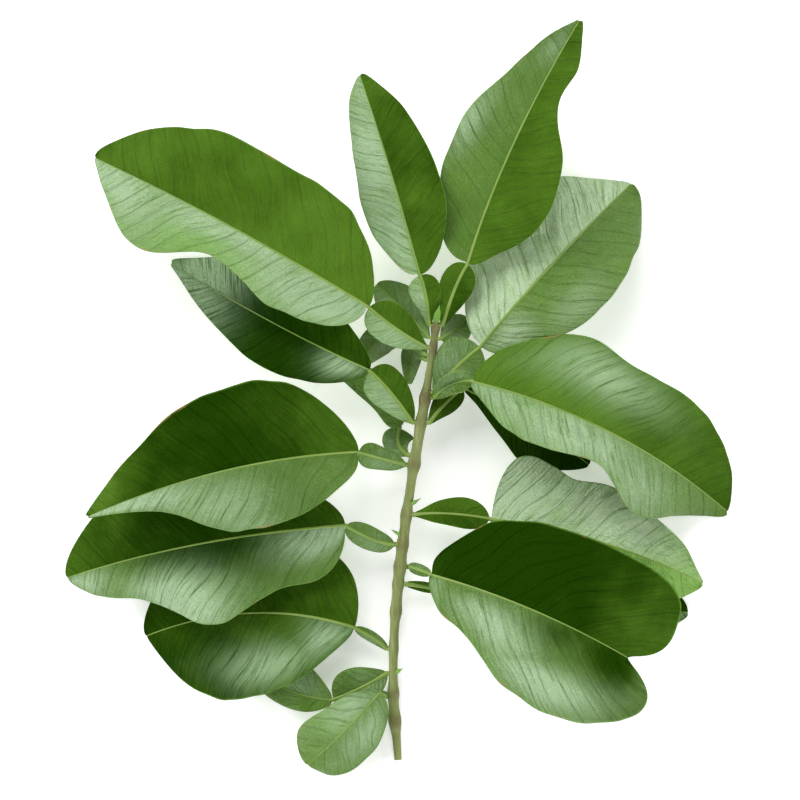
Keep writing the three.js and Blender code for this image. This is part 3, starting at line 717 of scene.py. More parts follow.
def leaf_sheet(name, leaf, look, thickness, cell, rib, vein_gap, seed):
    """A closed sheet on the leaf's surface, with what its finish and its veins are worked from.

    All lengths come in mm. rib holds the midrib's radius at base and tip."""
    guide = along_midrib(leaf, np.linspace(0, 1, GUIDE_POINTS))[0]
    length = np.linalg.norm(np.diff(guide, axis=0), axis=1).sum()
    widest = leaf["end"] + max(leaf["left"] + leaf["right"])
    s, v = leaf_grid(length, widest, cell)
    rows, columns = s.shape
    reach = np.abs(v)
    right = v < 0
    ends = np.sin(np.pi * s)
    rng = np.random.default_rng(seed)
    nibble = sum(depth * uneven(rng, s, right, length, apart) for apart, depth in NIBBLES)
    nibble = nibble * widest / WIDE * ends * reach**4
    point, facing, u, width = on_sheet(leaf, s, v * (1 + nibble / max(widest, 1)))
    flutter = FLUTTER[1] * uneven(rng, s, right, length, FLUTTER[0])
    point[..., 2] += flutter * widest / WIDE * reach**3 * ends
    drop = leaf["rib_drop"] * (1 - RIB_FADE * u) * np.exp(-((v / RIB_SPREAD) ** 2))
    point[..., 2] = rest_on_table(point[..., 2], thickness / 2 + drop)
    offset = facing * (thickness / 2 * (1 - RIM_THINNING * reach**12))[..., None]

    out = width * v
    along = u * length
    phase = vein_count(rng, seed, u, along, out, min(vein_gap, length / FEWEST_VEINS))
    # the painted light, shade and sheen that the finish lays on
    tone, painted_sheen = painted(look, u, v)
    relief = (1 - reach**6) * smoothstep(np.abs(out), *RELIEF_START) * ends**0.5
    relief = relief * (DEEP_RELIEF + PALE_RELIEF * tone)

    def both(values):
        return np.concatenate([values.reshape(rows * columns, -1)] * 2)

    on_rib = np.zeros((rows, columns), bool)
    on_rib[:, columns // 2] = True
    faces = sheet_faces(rows, columns)
    left_half, right_half = (SHADED if np.mean(t) < SHADED_TONE else TOP for t in look["tone"])
    across = np.where(v[0, 1:] + v[0, :-1] < 0, right_half, left_half)
    beneath = np.full(len(faces[1]) + len(faces[2]), UNDER)
    floats = {
        "vein_phase": phase, "relief": relief, "tone": tone, "painted_sheen": painted_sheen, "reach": reach,
        "rib_radius": (rib[0] + (rib[1] - rib[0]) * u) * MM,
    }
    attributes = [
        ("facing", "FLOAT_VECTOR", "POINT", both(facing).astype(np.float32)),
        *((key, "FLOAT", "POINT", both(values)) for key, values in floats.items()),
        ("on_rib", "BOOLEAN", "POINT", np.append(on_rib, np.zeros_like(on_rib))),
        ("part", "INT", "FACE", np.append(np.tile(across, rows - 1), beneath).astype(np.int32)),
    ]
    uv = both(np.stack([out, along], -1)) / MAP_UNIT
    points = np.concatenate([(point + offset).reshape(-1, 3), (point - offset).reshape(-1, 3)])
    return mesh_from(name, points, faces, attributes, uv)


# ---------------------------------------------------------------- node building
class Nodes:
    """Adds nodes to one tree and joins them. A value may be a number or another node's output."""

    def __init__(self, tree):
        self.tree = tree

    def feed(self, socket, value):
        if isinstance(value, bpy.types.NodeSocket):
            self.tree.links.new(value, socket)
        else:
            socket.default_value = value

    def add(self, kind, inputs=None, **settings):
        node = self.tree.nodes.new(kind)
        for key, value in settings.items():
            setattr(node, key, value)
        for key, value in (inputs or {}).items():
            self.feed(node.inputs[key], value)
        return node

    def math(self, operation, a, b=0.0, clamp=False):
        inputs = {0: a, 1: b}
        return self.add("ShaderNodeMath", inputs, operation=operation, use_clamp=clamp).outputs[0]

    def plus(self, a, b, clamp=False):
        return self.math("ADD", a, b, clamp)

    def minus(self, a, b):
        return self.math("SUBTRACT", a, b)

    def times(self, a, b, clamp=False):
        return self.math("MULTIPLY", a, b, clamp)

    def swing(self, pattern, strength):
        """A pattern from 0 to 1 made to swing evenly about 0."""
        return self.times(self.minus(pattern, 0.5), strength)

    def scaled(self, vector, factor):
        node = self.add("ShaderNodeVectorMath", {0: vector}, operation="SCALE")
        self.feed(node.inputs["Scale"], factor)
        return node.outputs[0]

    def noise(self, place, scale, detail=3.0, roughness=0.5):
        inputs = {"Vector": place, "Scale": scale, "Detail": detail, "Roughness": roughness}
        return self.add("ShaderNodeTexNoise", inputs).outputs[0]

    def step(self, value, low, high):
        """0 below low, 1 above high, smooth between them."""
        inputs = {0: value, 1: low, 2: high}
        return self.add("ShaderNodeMapRange", inputs, interpolation_type="SMOOTHSTEP").outputs[0]

    def mix(self, factor, a, b):
        node = self.add("ShaderNodeMix", {0: factor}, data_type="RGBA")
        for socket, value in ((node.inputs[6], a), (node.inputs[7], b)):
            self.feed(socket, value if isinstance(value, bpy.types.NodeSocket) else (*value, 1.0))
        return node.outputs[2]

    def laid(self, base, over, where, strength):
        """A colour laid over the base, as strongly as where and strength say."""
        return self.mix(self.times(where, strength), base, over)

    def bump(self, height, strength, distance):
        inputs = {"Strength": strength, "Distance": distance, "Height": height}
        return self.add("ShaderNodeBump", inputs).outputs[0]


class Finish(Nodes):
    """A material on one Principled shader, with the places that its patterns are laid by."""

    def __init__(self, name, **constants):
        self.material = bpy.data.materials.new(name)
        self.material.use_nodes = True
        super().__init__(self.material.node_tree)
        self.shader = self.tree.nodes["Principled BSDF"]
        self.place = self.add("ShaderNodeTexCoord").outputs["Object"]
        for key, value in constants.items():
            socket = key.replace("_", " ").title().replace("Ior", "IOR")
            self.shader.inputs[socket].default_value = value

    def attribute(self, name):
        return self.add("ShaderNodeAttribute", attribute_name=name).outputs["Fac"]

    def stretched(self, x, y, z):
        node = self.add("ShaderNodeMapping", {"Vector": self.place, "Scale": (x, y, z)})
        return node.outputs[0]

    def rough(self, least, pattern, strength):
        """A roughness that grows with a pattern."""
        return self.plus(least, self.times(pattern, strength))

    def done(self, base, roughness, normal):
        self.feed(self.shader.inputs["Base Color"], base)
        self.feed(self.shader.inputs["Roughness"], roughness)
        self.feed(self.shader.inputs["Normal"], normal)
        return self.material


# ---------------------------------------------------------------- finishes
def vein_lines(f, phase, low, high):
    """1 on the side veins and 0 from high on, as a share of their spacing to either side."""
    off_vein = f.math("ABSOLUTE", f.minus(f.math("FRACT", phase), 0.5))
    return f.minus(1.0, f.step(off_vein, low, high))


def net_lines(f, uv):
    """1 on the fine net of the smallest veins."""
    inputs = {"Vector": uv, "Scale": NET_SCALE}
    cells = f.add("ShaderNodeTexVoronoi", inputs, feature="DISTANCE_TO_EDGE").outputs[0]
    return f.minus(1.0, f.step(cells, *NET_LINE))


def leaf_top(name, colours, shade, gloss):
    """Glossy upper face: sunk side veins, a fine net, painted light and shade from the tone, painted
    sheen in streaks with painted shade in its creases, and a pale margin.

    shade moves every tone towards the light green, or below 0 towards the deep one, and above 0 it
    makes the painted sheen paler. gloss is how strongly the face reflects."""
    f = Finish(name, ior=1.42, coat_weight=0.0)
    uv = f.add("ShaderNodeUVMap", uv_map="leaf").outputs["UV"]
    out = f.add("ShaderNodeSeparateXYZ", {0: uv}).outputs[0]
    phase, tone, painted_sheen, reach = map(f.attribute, ("vein_phase", "tone", "painted_sheen", "reach"))
    vein = vein_lines(f, phase, 0.012, 0.06)
    net = net_lines(f, uv)
    lane = f.add("ShaderNodeCombineXYZ", {0: f.times(phase, 5.0), 1: f.times(out, 7.0)})
    streak = f.noise(lane.outputs[0], 1.0, 5.0, 0.68)
    mottle = f.noise(f.place, 55.0, 3.0)
    grain = f.noise(f.place, 620.0, 2.0)

    # painted light and shade: tone takes a half from the deep green of shade to the light green of a
    # half that faces the light
    tone = f.plus(f.plus(tone, shade), f.swing(mottle, 0.34))
    tone = f.plus(tone, f.swing(streak, 0.22), clamp=True)
    green = f.mix(f.step(tone, 0.0, 0.5), colours.deep, colours.middle)
    green = f.mix(f.step(tone, 0.45, 1.0), green, colours.light)
    # painted sheen: a painted reflection of the light, laid on in streaks; a shade above 0 makes its
    # colour paler
    sheen_mask = f.times(f.times(painted_sheen, 1.3), f.step(streak, 0.24, 0.56), clamp=True)
    sheen_colour = f.mix(max(0.0, 2.5 * shade), colours.painted_sheen, colour(*PALE_SHEEN))
    base = f.laid(green, sheen_colour, sheen_mask, 0.88)
    # the side veins break the painted sheen, with leaf green on them
    sheen_breaks = f.times(vein, f.step(mottle, 0.45, 0.62))
    base = f.laid(base, colours.middle, f.times(sheen_breaks, sheen_mask), 0.3)
    # painted shade in the creases: dark streaks beside the midrib of a pale half and between the
    # bands of painted sheen
    near_rib = f.times(f.minus(1.0, f.step(reach, 0.0, 0.6)), f.step(tone, 0.3, 0.6))
    crease_shade = f.minus(1.0, f.step(streak, 0.32, 0.44))
    crease_shade = f.times(crease_shade, f.math("MAXIMUM", near_rib, f.times(painted_sheen, 0.7)))
    base = f.laid(base, f.mix(0.5, colours.middle, colours.deep), crease_shade, 0.65)
    clear = f.minus(0.09, f.times(f.times(reach, reach), 0.07))
    base = f.laid(base, colours.vein, vein, f.times(clear, f.step(tone, 0.0, 0.45)))
    base = f.laid(base, colours.vein, net, f.times(tone, 0.07))
    base = f.laid(base, colours.light, f.step(reach, 0.975, 1.0), 0.6)
    patches = f.step(f.noise(f.place, 90.0, 3.0), 0.6, 0.68)
    base = f.laid(base, colours.dry, f.times(f.step(reach, 0.965, 0.99), patches), 0.7)
    specks = f.step(f.noise(f.place, 210.0, 4.0, 0.65), 0.74, 0.8)
    base = f.laid(base, colours.dry, specks, 0.5)

    shine = f.plus(f.times(f.step(tone, 0.1, 0.5), gloss), f.times(sheen_mask, 0.3))
    f.feed(f.shader.inputs["Specular IOR Level"], shine)
    dull = f.minus(1.0, f.step(f.plus(tone, sheen_mask), 0.0, 0.6))
    roughness = f.plus(f.rough(0.2, dull, 0.34), f.times(grain, 0.12))
    height = f.minus(f.times(streak, 0.9), f.times(vein, 0.5))
    height = f.plus(f.minus(height, f.times(net, 0.14)), f.times(grain, 0.12))
    return f.done(base, roughness, f.bump(height, 0.8, 0.0016))


def leaf_under(name, colours):
    """Matt lower face with raised veins."""
    f = Finish(name, ior=1.4)
    vein = vein_lines(f, f.attribute("vein_phase"), 0.02, 0.08)
    net = net_lines(f, f.add("ShaderNodeUVMap", uv_map="leaf").outputs["UV"])
    mottle = f.noise(f.place, 80.0, 4.0)
    base = f.mix(f.step(mottle, 0.3, 0.7), colours.middle, colours.under)
    base = f.mix(0.6, base, colours.under)
    base = f.laid(base, colours.vein, vein, 0.55)
    base = f.laid(base, colours.vein, net, 0.2)
    height = f.plus(vein, f.times(net, 0.3))
    return f.done(base, f.rough(0.52, mottle, 0.15), f.bump(height, 0.5, 0.0004))


def rib_finish(name, colours):
    """Midribs and stalks: pale, with a fine grain."""
    f = Finish(name, ior=1.42, coat_weight=0.15, coat_roughness=0.3)
    mottle = f.noise(f.place, 90.0, 4.0)
    grain = f.noise(f.place, 900.0, 2.0)
    base = f.mix(f.step(mottle, 0.35, 0.75), colours.rib, colours.middle)
    base = f.mix(0.55, base, colours.rib)
    base = f.laid(base, colours.light, f.step(grain, 0.5, 0.75), 0.25)
    return f.done(base, f.rough(0.36, grain, 0.16), f.bump(grain, 0.25, 0.0002))


def bark_finish(name, colours):
    """Green bark with long grey and brown streaks, brown at its swollen nodes, and a cut end."""
    f = Finish(name, ior=1.4)
    streak = f.noise(f.stretched(1.0, 0.12, 1.0), 900.0, 4.0, 0.6)
    broad = f.noise(f.stretched(1.0, 0.35, 1.0), 160.0, 3.0)
    grain = f.noise(f.place, 1500.0, 3.0)
    worn = f.plus(f.attribute("age"), f.swing(broad, 1.2), clamp=True)
    base = f.mix(f.step(worn, 0.2, 0.9), colours.bark, colours.old_bark)
    base = f.laid(base, colours.cork, f.step(streak, 0.5, 0.7), 0.5)
    base = f.laid(base, colours.old_bark, f.step(streak, 0.5, 0.3), 0.45)
    normal = f.add("ShaderNodeNewGeometry").outputs["Normal"]
    facing = f.add("ShaderNodeSeparateXYZ", {0: normal}).outputs[1]
    cut = f.times(f.attribute("cut"), f.step(f.times(facing, -1.0), 0.7, 0.9))
    base = f.mix(cut, base, colours.wood)
    height = f.plus(streak, f.times(grain, 0.3))
    return f.done(base, f.rough(0.55, broad, 0.25), f.bump(height, 0.6, 0.0004))


def cork_finish(name, colours):
    """Dry pale cork of the lenticels."""
    f = Finish(name, ior=1.35)
    grain = f.noise(f.place, 1800.0, 3.0)
    base = f.mix(f.step(grain, 0.3, 0.7), colours.old_bark, colours.cork)
    return f.done(base, f.rough(0.7, grain, 0.2), f.bump(grain, 0.4, 0.0002))


def bud_finish(name, colours, tip):
    """Bud scales and thorns: green at the foot, towards tip at the end."""
    f = Finish(name, ior=1.42, coat_weight=0.1, coat_roughness=0.3)
    mottle = f.noise(f.place, 300.0, 4.0)
    grain = f.noise(f.place, 1600.0, 2.0)
    far = f.plus(f.attribute("height"), f.swing(mottle, 0.4))
    base = f.mix(f.step(far, 0.35, 1.0), colours.light, tip)
    base = f.laid(base, colours.middle, f.step(grain, 0.5, 0.7), 0.3)
    return f.done(base, f.rough(0.42, mottle, 0.2), f.bump(grain, 0.3, 0.0002))


def floor_finish(name, colours):
    """A matt white floor that glows a little."""
    f = Finish(name, ior=1.3, emission_strength=FLOOR_GLOW, emission_color=(1.0, 1.0, 1.0, 1.0))
    paper = f.noise(f.place, 400.0, 3.0)
    base = f.laid(colours.floor, colours.cork, paper, 0.02)
    return f.done(base, f.rough(0.8, paper, 0.1), f.bump(paper, 0.05, 0.0002))


# ---------------------------------------------------------------- geometry trees
class Maker(Nodes):
    """A geometry tree with named inputs, whose modifier is put on a piece and made final."""

    def __init__(self, name):
        super().__init__(bpy.data.node_groups.new(name, "GeometryNodeTree"))
        self.inlets = {}
        face = self.tree.interface
        face.new_socket("Geometry", in_out="INPUT", socket_type="NodeSocketGeometry")
        face.new_socket("Geometry", in_out="OUTPUT", socket_type="NodeSocketGeometry")

    def take(self, kind, *names):
        """Named inputs of one kind."""
        for name in names:
            item = self.tree.interface.new_socket(
                name, in_out="INPUT", socket_type=f"NodeSocket{kind}"
            )
            self.inlets[name] = item.identifier

    def begin(self):
        self.given = self.add("NodeGroupInput").outputs
        return self.given["Geometry"]

    def end(self, geometry):
        self.add("NodeGroupOutput", {0: geometry})

    def named(self, name, kind="FLOAT"):
        return self.add("GeometryNodeInputNamedAttribute", {"Name": name}, data_type=kind).outputs[0]

    def coated(self, geometry, material, part=None):
        """Gives a material to all faces, or to those whose part attribute is that number."""
        node = self.add("GeometryNodeSetMaterial", {"Geometry": geometry, "Material": material})
        if part is not None:
            inputs = {2: self.named("part", "INT"), 3: part}
            same = self.add("FunctionNodeCompare", inputs, data_type="INT", operation="EQUAL")
            self.feed(node.inputs["Selection"], same.outputs[0])
        return node.outputs[0]

    def marked(self, geometry, part):
        """Writes the part attribute on all faces."""
        kind = "GeometryNodeStoreNamedAttribute"
        node = self.add(kind, {"Geometry": geometry, "Name": "part"}, data_type="INT", domain="FACE")
        node.inputs["Value"].default_value = part
        return node.outputs[0]

    def moved(self, geometry, offset):
        inputs = {"Geometry": geometry, "Offset": offset}
        return self.add("GeometryNodeSetPosition", inputs).outputs[0]

    def tube(self, curve, radius, sides):
        """A closed tube along a curve, radius thick at each of its points."""
        profile = self.add("GeometryNodeCurvePrimitiveCircle", {"Resolution": sides, "Radius": 1.0})
        inputs = {
            "Curve": curve, "Profile Curve": profile.outputs[0], "Scale": radius, "Fill Caps": True,
        }
        tube = self.add("GeometryNodeCurveToMesh", inputs).outputs[0]
        return self.add("GeometryNodeSetShadeSmooth", {"Geometry": tube}).outputs[0]

    def joined(self, *geometries):
        node = self.add("GeometryNodeJoinGeometry")
        for geometry in geometries:
            self.tree.links.new(geometry, node.inputs[0])
        return self.add("GeometryNodeRealizeInstances", {"Geometry": node.outputs[0]}).outputs[0]

    def make(self, piece, **values):
        """Runs the tree on a piece and leaves it a plain mesh."""
        modifier = piece.modifiers.new(self.tree.name, "NODES")
        modifier.node_group = self.tree
        for key, value in values.items():
            modifier[self.inlets[key.replace("_", " ").capitalize()]] = value
        graph = bpy.context.evaluated_depsgraph_get()
        mesh = bpy.data.meshes.new_from_object(
            piece.evaluated_get(graph), preserve_all_data_layers=True, depsgraph=graph
        )
        piece.modifiers.clear()
        plain = piece.data
        piece.data = mesh
        bpy.data.meshes.remove(plain)
        if not len(mesh.polygons):
            raise RuntimeError(f"{piece.name} came out empty")


def leaf_maker():
    """Sinks the side veins, swells the blade between them and runs the midrib along it."""
    m = Maker("leaf")
    m.take("Float", "Vein depth", "Crinkle", "Crinkle size", "Pucker")
    m.take("Int", "Rib sides")
    m.take("Material", "Top finish", "Shaded finish", "Under finish", "Rib finish")
    sheet = m.begin()
    facing = m.named("facing", "FLOAT_VECTOR")
    phase = m.named("vein_phase")
    groove = m.math("ABSOLUTE", m.math("SINE", m.times(phase, math.pi)))
    groove = m.math("POWER", groove, GROOVE_SHARPNESS)
    spot = m.add("GeometryNodeInputPosition").outputs[0]
    swelling = m.noise(spot, m.math("DIVIDE", 1.0, m.given["Crinkle size"]), 2.0)
    lane = m.add("ShaderNodeCombineXYZ", {0: phase, 1: m.times(m.named("reach"), PUCKER_RUN)})
    pucker = m.noise(lane.outputs[0], PUCKER_SCALE, 3.0, 0.6)
    swelling = m.plus(m.swing(swelling, m.given["Crinkle"]), m.swing(pucker, m.given["Pucker"]))
    height = m.minus(swelling, m.times(groove, m.given["Vein depth"]))
    sheet = m.moved(sheet, m.scaled(facing, m.times(height, m.named("relief"))))

    radius = m.named("rib_radius")
    inputs = {"Mesh": sheet, "Selection": m.named("on_rib", "BOOLEAN")}
    path = m.add("GeometryNodeMeshToCurve", inputs).outputs[0]
    sink = m.scaled(facing, m.times(radius, -0.5))
    inputs = {0: m.named("run_on", "FLOAT_VECTOR"), 1: sink}
    path = m.moved(path, m.add("ShaderNodeVectorMath", inputs, operation="ADD").outputs[0])
    rib = m.marked(m.tube(path, radius, m.given["Rib sides"]), RIB)
    whole = m.coated(m.joined(sheet, rib), m.given["Top finish"])
    whole = m.coated(whole, m.given["Shaded finish"], SHADED)
    whole = m.coated(whole, m.given["Under finish"], UNDER)
    m.end(m.coated(whole, m.given["Rib finish"], RIB))
    return m


def stem_maker():
    """A ridged tube along the stem's line, with cork spots strewn over it."""
    m = Maker("stem")
    m.take("Float", "Bark ridge", "Lenticel", "Lenticel density")
    m.take("Int", "Stem sides", "Seed")
    m.take("Material", "Bark finish", "Cork finish")
    path = m.add("GeometryNodeMeshToCurve", {"Mesh": m.begin()}).outputs[0]
    tube = m.tube(path, m.named("stem_radius"), m.given["Stem sides"])
    spot = m.add("GeometryNodeInputPosition").outputs[0]
    lane = m.add("ShaderNodeVectorMath", {0: spot, 1: RIDGE_STRETCH}, operation="MULTIPLY")
    ridge = m.noise(lane.outputs[0], RIDGE_SCALE, 3.0, 0.6)
    ridge = m.swing(ridge, m.times(m.given["Bark ridge"], 2.0))
    tube = m.moved(tube, m.scaled(m.add("GeometryNodeInputNormal").outputs[0], ridge))
    inputs = {"Mesh": tube, "Density": m.given["Lenticel density"], "Seed": m.given["Seed"]}
    strewn = m.add("GeometryNodeDistributePointsOnFaces", inputs)
    ball = m.add("GeometryNodeMeshIcoSphere", {"Radius": m.given["Lenticel"], "Subdivisions": 2})
    flat = m.add("GeometryNodeTransform", {"Geometry": ball.outputs[0], "Scale": LENTICEL_SHAPE})
    least, most = LENTICEL_SPREAD
    inputs = {2: least, 3: most, "Seed": m.given["Seed"]}
    size = m.add("FunctionNodeRandomValue", inputs).outputs[1]
    inputs = {
        "Points": strewn.outputs[0], "Instance": flat.outputs[0], "Rotation": strewn.outputs[2],
        "Scale": size,
    }
    spots = m.add("GeometryNodeInstanceOnPoints", inputs).outputs[0]
    spots = m.add("GeometryNodeRealizeInstances", {"Geometry": spots}).outputs[0]
    whole = m.joined(m.marked(tube, BARK), m.marked(spots, CORK))
    m.end(m.coated(m.coated(whole, m.given["Bark finish"]), m.given["Cork finish"], CORK))
    return m


# ---------------------------------------------------------------- pieces
def settled(piece, node):
    """The piece stands in for its plain solid: it must lie close to it, it hangs from the root, and
    the solid is hidden.
    """
    low, high = np.array(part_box(node))
    points = np.empty(len(piece.data.vertices) * 3)
    piece.data.vertices.foreach_get("co", points)
    points = points.reshape(-1, 3)
    stray = max((low - points.min(axis=0)).max(), (points.max(axis=0) - high).max())
    if stray > MOST_STRAY * MM:
        raise RuntimeError(f"{piece.name} reaches {stray / MM:.1f} mm outside its solid")
    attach(piece, "root")
    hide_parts(node)


def with_run_on(mesh, at_base, at_tip, foot=None):
    """Says how far the midrib runs straight on past the sheet at its two ends, in mm.

    foot is the way that it goes at the base instead, as a vector in mm."""
    flags = np.zeros(len(mesh.vertices), bool)
    mesh.attributes["on_rib"].data.foreach_get("value", flags)
    spots = np.flatnonzero(flags)
    first, second, before, last = (np.array(mesh.vertices[i].co) for i in spots[[0, 1, -2, -1]])
    ways = np.zeros((len(mesh.vertices), 3))
    ways[spots[0]] = (unit(first - second) * at_base if foot is None else foot) * MM
    ways[spots[-1]] = unit(last - before) * at_tip * MM
    mesh.attributes.new("run_on", "FLOAT_VECTOR", "POINT").data.foreach_set("vector", ways.ravel())


def finish_of(build, name, *choices):
    """The finish of that name, built once."""
    return bpy.data.materials.get(name) or build(name, *choices)


def leaf_finishes(slot, colours, shade):
    """A leaf's finishes, by the inputs of its tree. A half in the shade has a duller one."""
    return {
        "top_finish": finish_of(leaf_top, f"{slot}_top", colours, shade, GLOSS),
        "shaded_finish": finish_of(leaf_top, f"{slot}_shaded", colours, shade, SHADED_GLOSS),
        "under_finish": finish_of(leaf_under, "leaf_underside", colours),
        "rib_finish": finish_of(rib_finish, "midrib", colours),
    }


def relief_sizes(sizes, shares):
    """The settings of a leaf's relief, each times its share."""
    return {key: getattr(sizes, key) * share for key, share in shares.items()}


class SPRIG_OT_blades(bpy.types.Operator):
    """Makes the sixteen grown leaf blades"""

    bl_idname = "sprig.blades"
    bl_label = "Leaf blades"

    def execute(self, context):
        sizes, colours = context.scene.sprig_sizes, context.scene.sprig_colours
        thickness, cell, full_rib, gap = (
            getattr(sizes, key) / MM for key in ("blade_thickness", "cell", "rib_radius", "vein_gap")
        )
        maker = leaf_maker()
        for seed, entry in enumerate(LEAVES):
            leaf = blade_leaf(entry)
            look = LOOKS[leaf["name"]]
            slot = f"leaf_{leaf['tone']}"
            rib = full_rib * (0.5 + 0.5 * min(1, max(leaf["left"] + leaf["right"]) / BROAD))
            ribs = (rib, rib * RIB_TAPER)
            name = f"leaf_blade_{leaf['name']}"
            mesh = leaf_sheet(name, leaf, look, thickness, cell, ribs, gap, seed)
            with_run_on(mesh, BRIDGE, 0)
            piece = new_object(name, mesh)
            shares = dict.fromkeys(("vein_depth", "crinkle", "pucker"), look["crinkle"])
            maker.make(
                piece, **relief_sizes(sizes, {**shares, "crinkle_size": 1.0}),
                rib_sides=BLADE_RIB_SIDES, **leaf_finishes(slot, colours, TONE_SHADE[leaf["tone"]]),
            )
            settled(piece, f"blade_{leaf['name']}")
        return {"FINISHED"}


def small_sheets(context, entries, thickness, ribs, run_on, slot, shade):
    """Winged petioles or young leaves: (piece name, node, leaf) each, all with one finish."""
    sizes = context.scene.sprig_sizes
    maker = leaf_maker()
    finishes = leaf_finishes(slot, context.scene.sprig_colours, shade)
    for seed, (name, node, leaf) in enumerate(entries, SMALL_SEED):
        look = WING_LOOKS.get(name, SMALL_LOOK)
        mesh = leaf_sheet(name, leaf, look, thickness, SMALL_CELL, ribs, SMALL_VEIN_GAP, seed)
        into_stem = stem_centre(leaf["base"][1]) - np.array(leaf["base"])
        with_run_on(mesh, 0, run_on, into_stem * ROOTED_SHARE)
        piece = new_object(name, mesh)
        relief = relief_sizes(sizes, SMALL_RELIEF)
        maker.make(piece, **relief, rib_sides=SMALL_RIB_SIDES, **finishes)
        settled(piece, node)


class SPRIG_OT_petioles(bpy.types.Operator):
    """Makes the winged petioles that carry the blades"""

    bl_idname = "sprig.petioles"
    bl_label = "Winged petioles"

    def execute(self, context):
        entries = [
            (f"petiole_{leaf['name']}", f"winged_petiole_{leaf['name']}", wing_leaf(leaf))
            for leaf in LEAVES
        ]
        thickness = context.scene.sprig_sizes.wing_thickness / MM
        small_sheets(context, entries, thickness, WING_RIB, BRIDGE, "petiole_wing", 0.0)
        return {"FINISHED"}


class SPRIG_OT_young_leaves(bpy.types.Operator):
    """Makes the young leaves around the growing tip"""

    bl_idname = "sprig.young_leaves"
    bl_label = "Young leaves"

    def execute(self, context):
        entries = [
            (f"shoot_leaf_{leaf['name']}", f"young_leaf_{leaf['name']}", young_leaf(leaf))
            for leaf in YOUNG_LEAVES
        ]
        thickness = context.scene.sprig_sizes.blade_thickness / MM
        small_sheets(context, entries, thickness, YOUNG_RIB, 0, "leaf_young", YOUNG_SHADE)
        return {"FINISHED"}


class SPRIG_OT_stem(bpy.types.Operator):
    """Makes the stem with its swollen nodes and cork spots"""

    bl_idname = "sprig.stem"
    bl_label = "Stem"

    def execute(self, context):
        sizes, colours = context.scene.sprig_sizes, context.scene.sprig_colours
        y = np.append(np.linspace(STEM_START, STEM_END, STEM_POINTS), STEM_END + STEM_CROWN[0])
        points = stem_centre(np.minimum(y, STEM_END))
        points[:, 1] = y
        radius = stem_radius(np.minimum(y, STEM_END))
        radius[-1] *= STEM_CROWN[1]
        swollen = (radius - through(STEM_RADIUS, stem_height(y))) / AGE_SWELLING
        age = np.clip(swollen, 0, 1) * NODE_AGE + END_AGE * smoothstep(y, *AGEING) + LEAST_AGE
        mesh = bpy.data.meshes.new("twig")
        mesh.from_pydata((points + SHIFT) * MM, [(i, i + 1) for i in range(len(points) - 1)], [])
        values = {
            "stem_radius": radius * MM, "age": age, "cut": (y < STEM_START + 1).astype(float),
        }
        for key, value in values.items():
            mesh.attributes.new(key, "FLOAT", "POINT").data.foreach_set("value", value)
        piece = new_object("twig", mesh)
        stem_maker().make(
            piece, bark_ridge=sizes.bark_ridge, lenticel=sizes.lenticel,
            lenticel_density=LENTICELS, stem_sides=STEM_SIDES, seed=LENTICEL_SEED,
            bark_finish=bark_finish("bark", colours), cork_finish=cork_finish("cork", colours),
        )
        settled(piece, "stem")
        return {"FINISHED"}


def spindle(bud, folds, lean):
    """A furrowed spindle in a leaf's corner. Its foot runs into the bark.

    folds is how many furrows it has, lean how far its tip bends over as a share of its length."""
    direction = unit(np.array(bud["toward"], float))
    foot = stem_centre(bud["node"]) + direction * (stem_radius(bud["node"]) + GAP - ROOTED)
    side = unit(np.cross(direction, (0.0, 1.0, 0.3)))
    other = np.cross(direction, side)
    turns = np.arange(BUD_SIDES) / BUD_SIDES * 2 * np.pi
    h, turn = np.meshgrid(np.linspace(0, 1, BUD_ROWS), turns, indexing="ij")
    furrow = 1 + FURROW * np.cos(folds * turn + 3 * h) * np.sin(np.pi * h)
    r = bud["radius"] * through(BUD_OUTLINE, h) * furrow
    rise = h * (bud["length"] + ROOTED)
    bend = lean * bud["length"] * h**2
    points = foot + direction * rise[..., None] + side * (r * np.cos(turn) + bend)[..., None]
    points = points + other * (r * np.sin(turn))[..., None]
    index = np.arange(h.size).reshape(h.shape)
    beside = np.roll(index, -1, axis=1)
    cells = np.stack([index[:-1], beside[:-1], beside[1:], index[1:]], -1).reshape(-1, 4)
    return points.reshape(-1, 3), [cells, index[:1, ::-1], index[-1:]], h.ravel()


def add_spindles(names, folds, lean, finish):
    """Makes the buds whose names begin like that."""
    for bud in BUDS:
        if bud["name"].startswith(names):
            name = f"{bud['name']}_grown"
            points, faces, height = spindle(bud, folds, lean)
            mesh = mesh_from(name, points, faces, [("height", "FLOAT", "POINT", height)])
            mesh.materials.append(finish)
            settled(new_object(name, mesh), bud["name"])


class SPRIG_OT_buds(bpy.types.Operator):
    """Makes the growing tip and the bud in a leaf's corner"""

    bl_idname = "sprig.buds"
    bl_label = "Buds"

    def execute(self, context):
        colours = context.scene.sprig_colours
        finish = bud_finish("bud", colours, colours.light)
        add_spindles(("bud", "terminal"), folds=5, lean=0.0, finish=finish)
        return {"FINISHED"}


class SPRIG_OT_thorns(bpy.types.Operator):
    """Makes the short thorns in the leaf corners"""

    bl_idname = "sprig.thorns"
    bl_label = "Thorns"

    def execute(self, context):
        colours = context.scene.sprig_colours
        finish = bud_finish("thorn", colours, colours.old_bark)
        add_spindles(("thorn",), folds=3, lean=0.08, finish=finish)
        return {"FINISHED"}


def add_light(name, place, energy, width, depth):
    """A softbox aimed at the sprig's middle, which the camera doesn't see."""
    light = bpy.data.lights.new(name, "AREA")
    light.shape = "RECTANGLE"
    light.energy = energy
    light.size = width
    light.size_y = depth
    lamp = bpy.data.objects.new(name, light)
    lamp.location = place
    lamp.rotation_euler = (-Vector(place)).to_track_quat("-Z", "Y").to_euler()
    lamp.visible_camera = False
    bpy.context.scene.collection.objects.link(lamp)


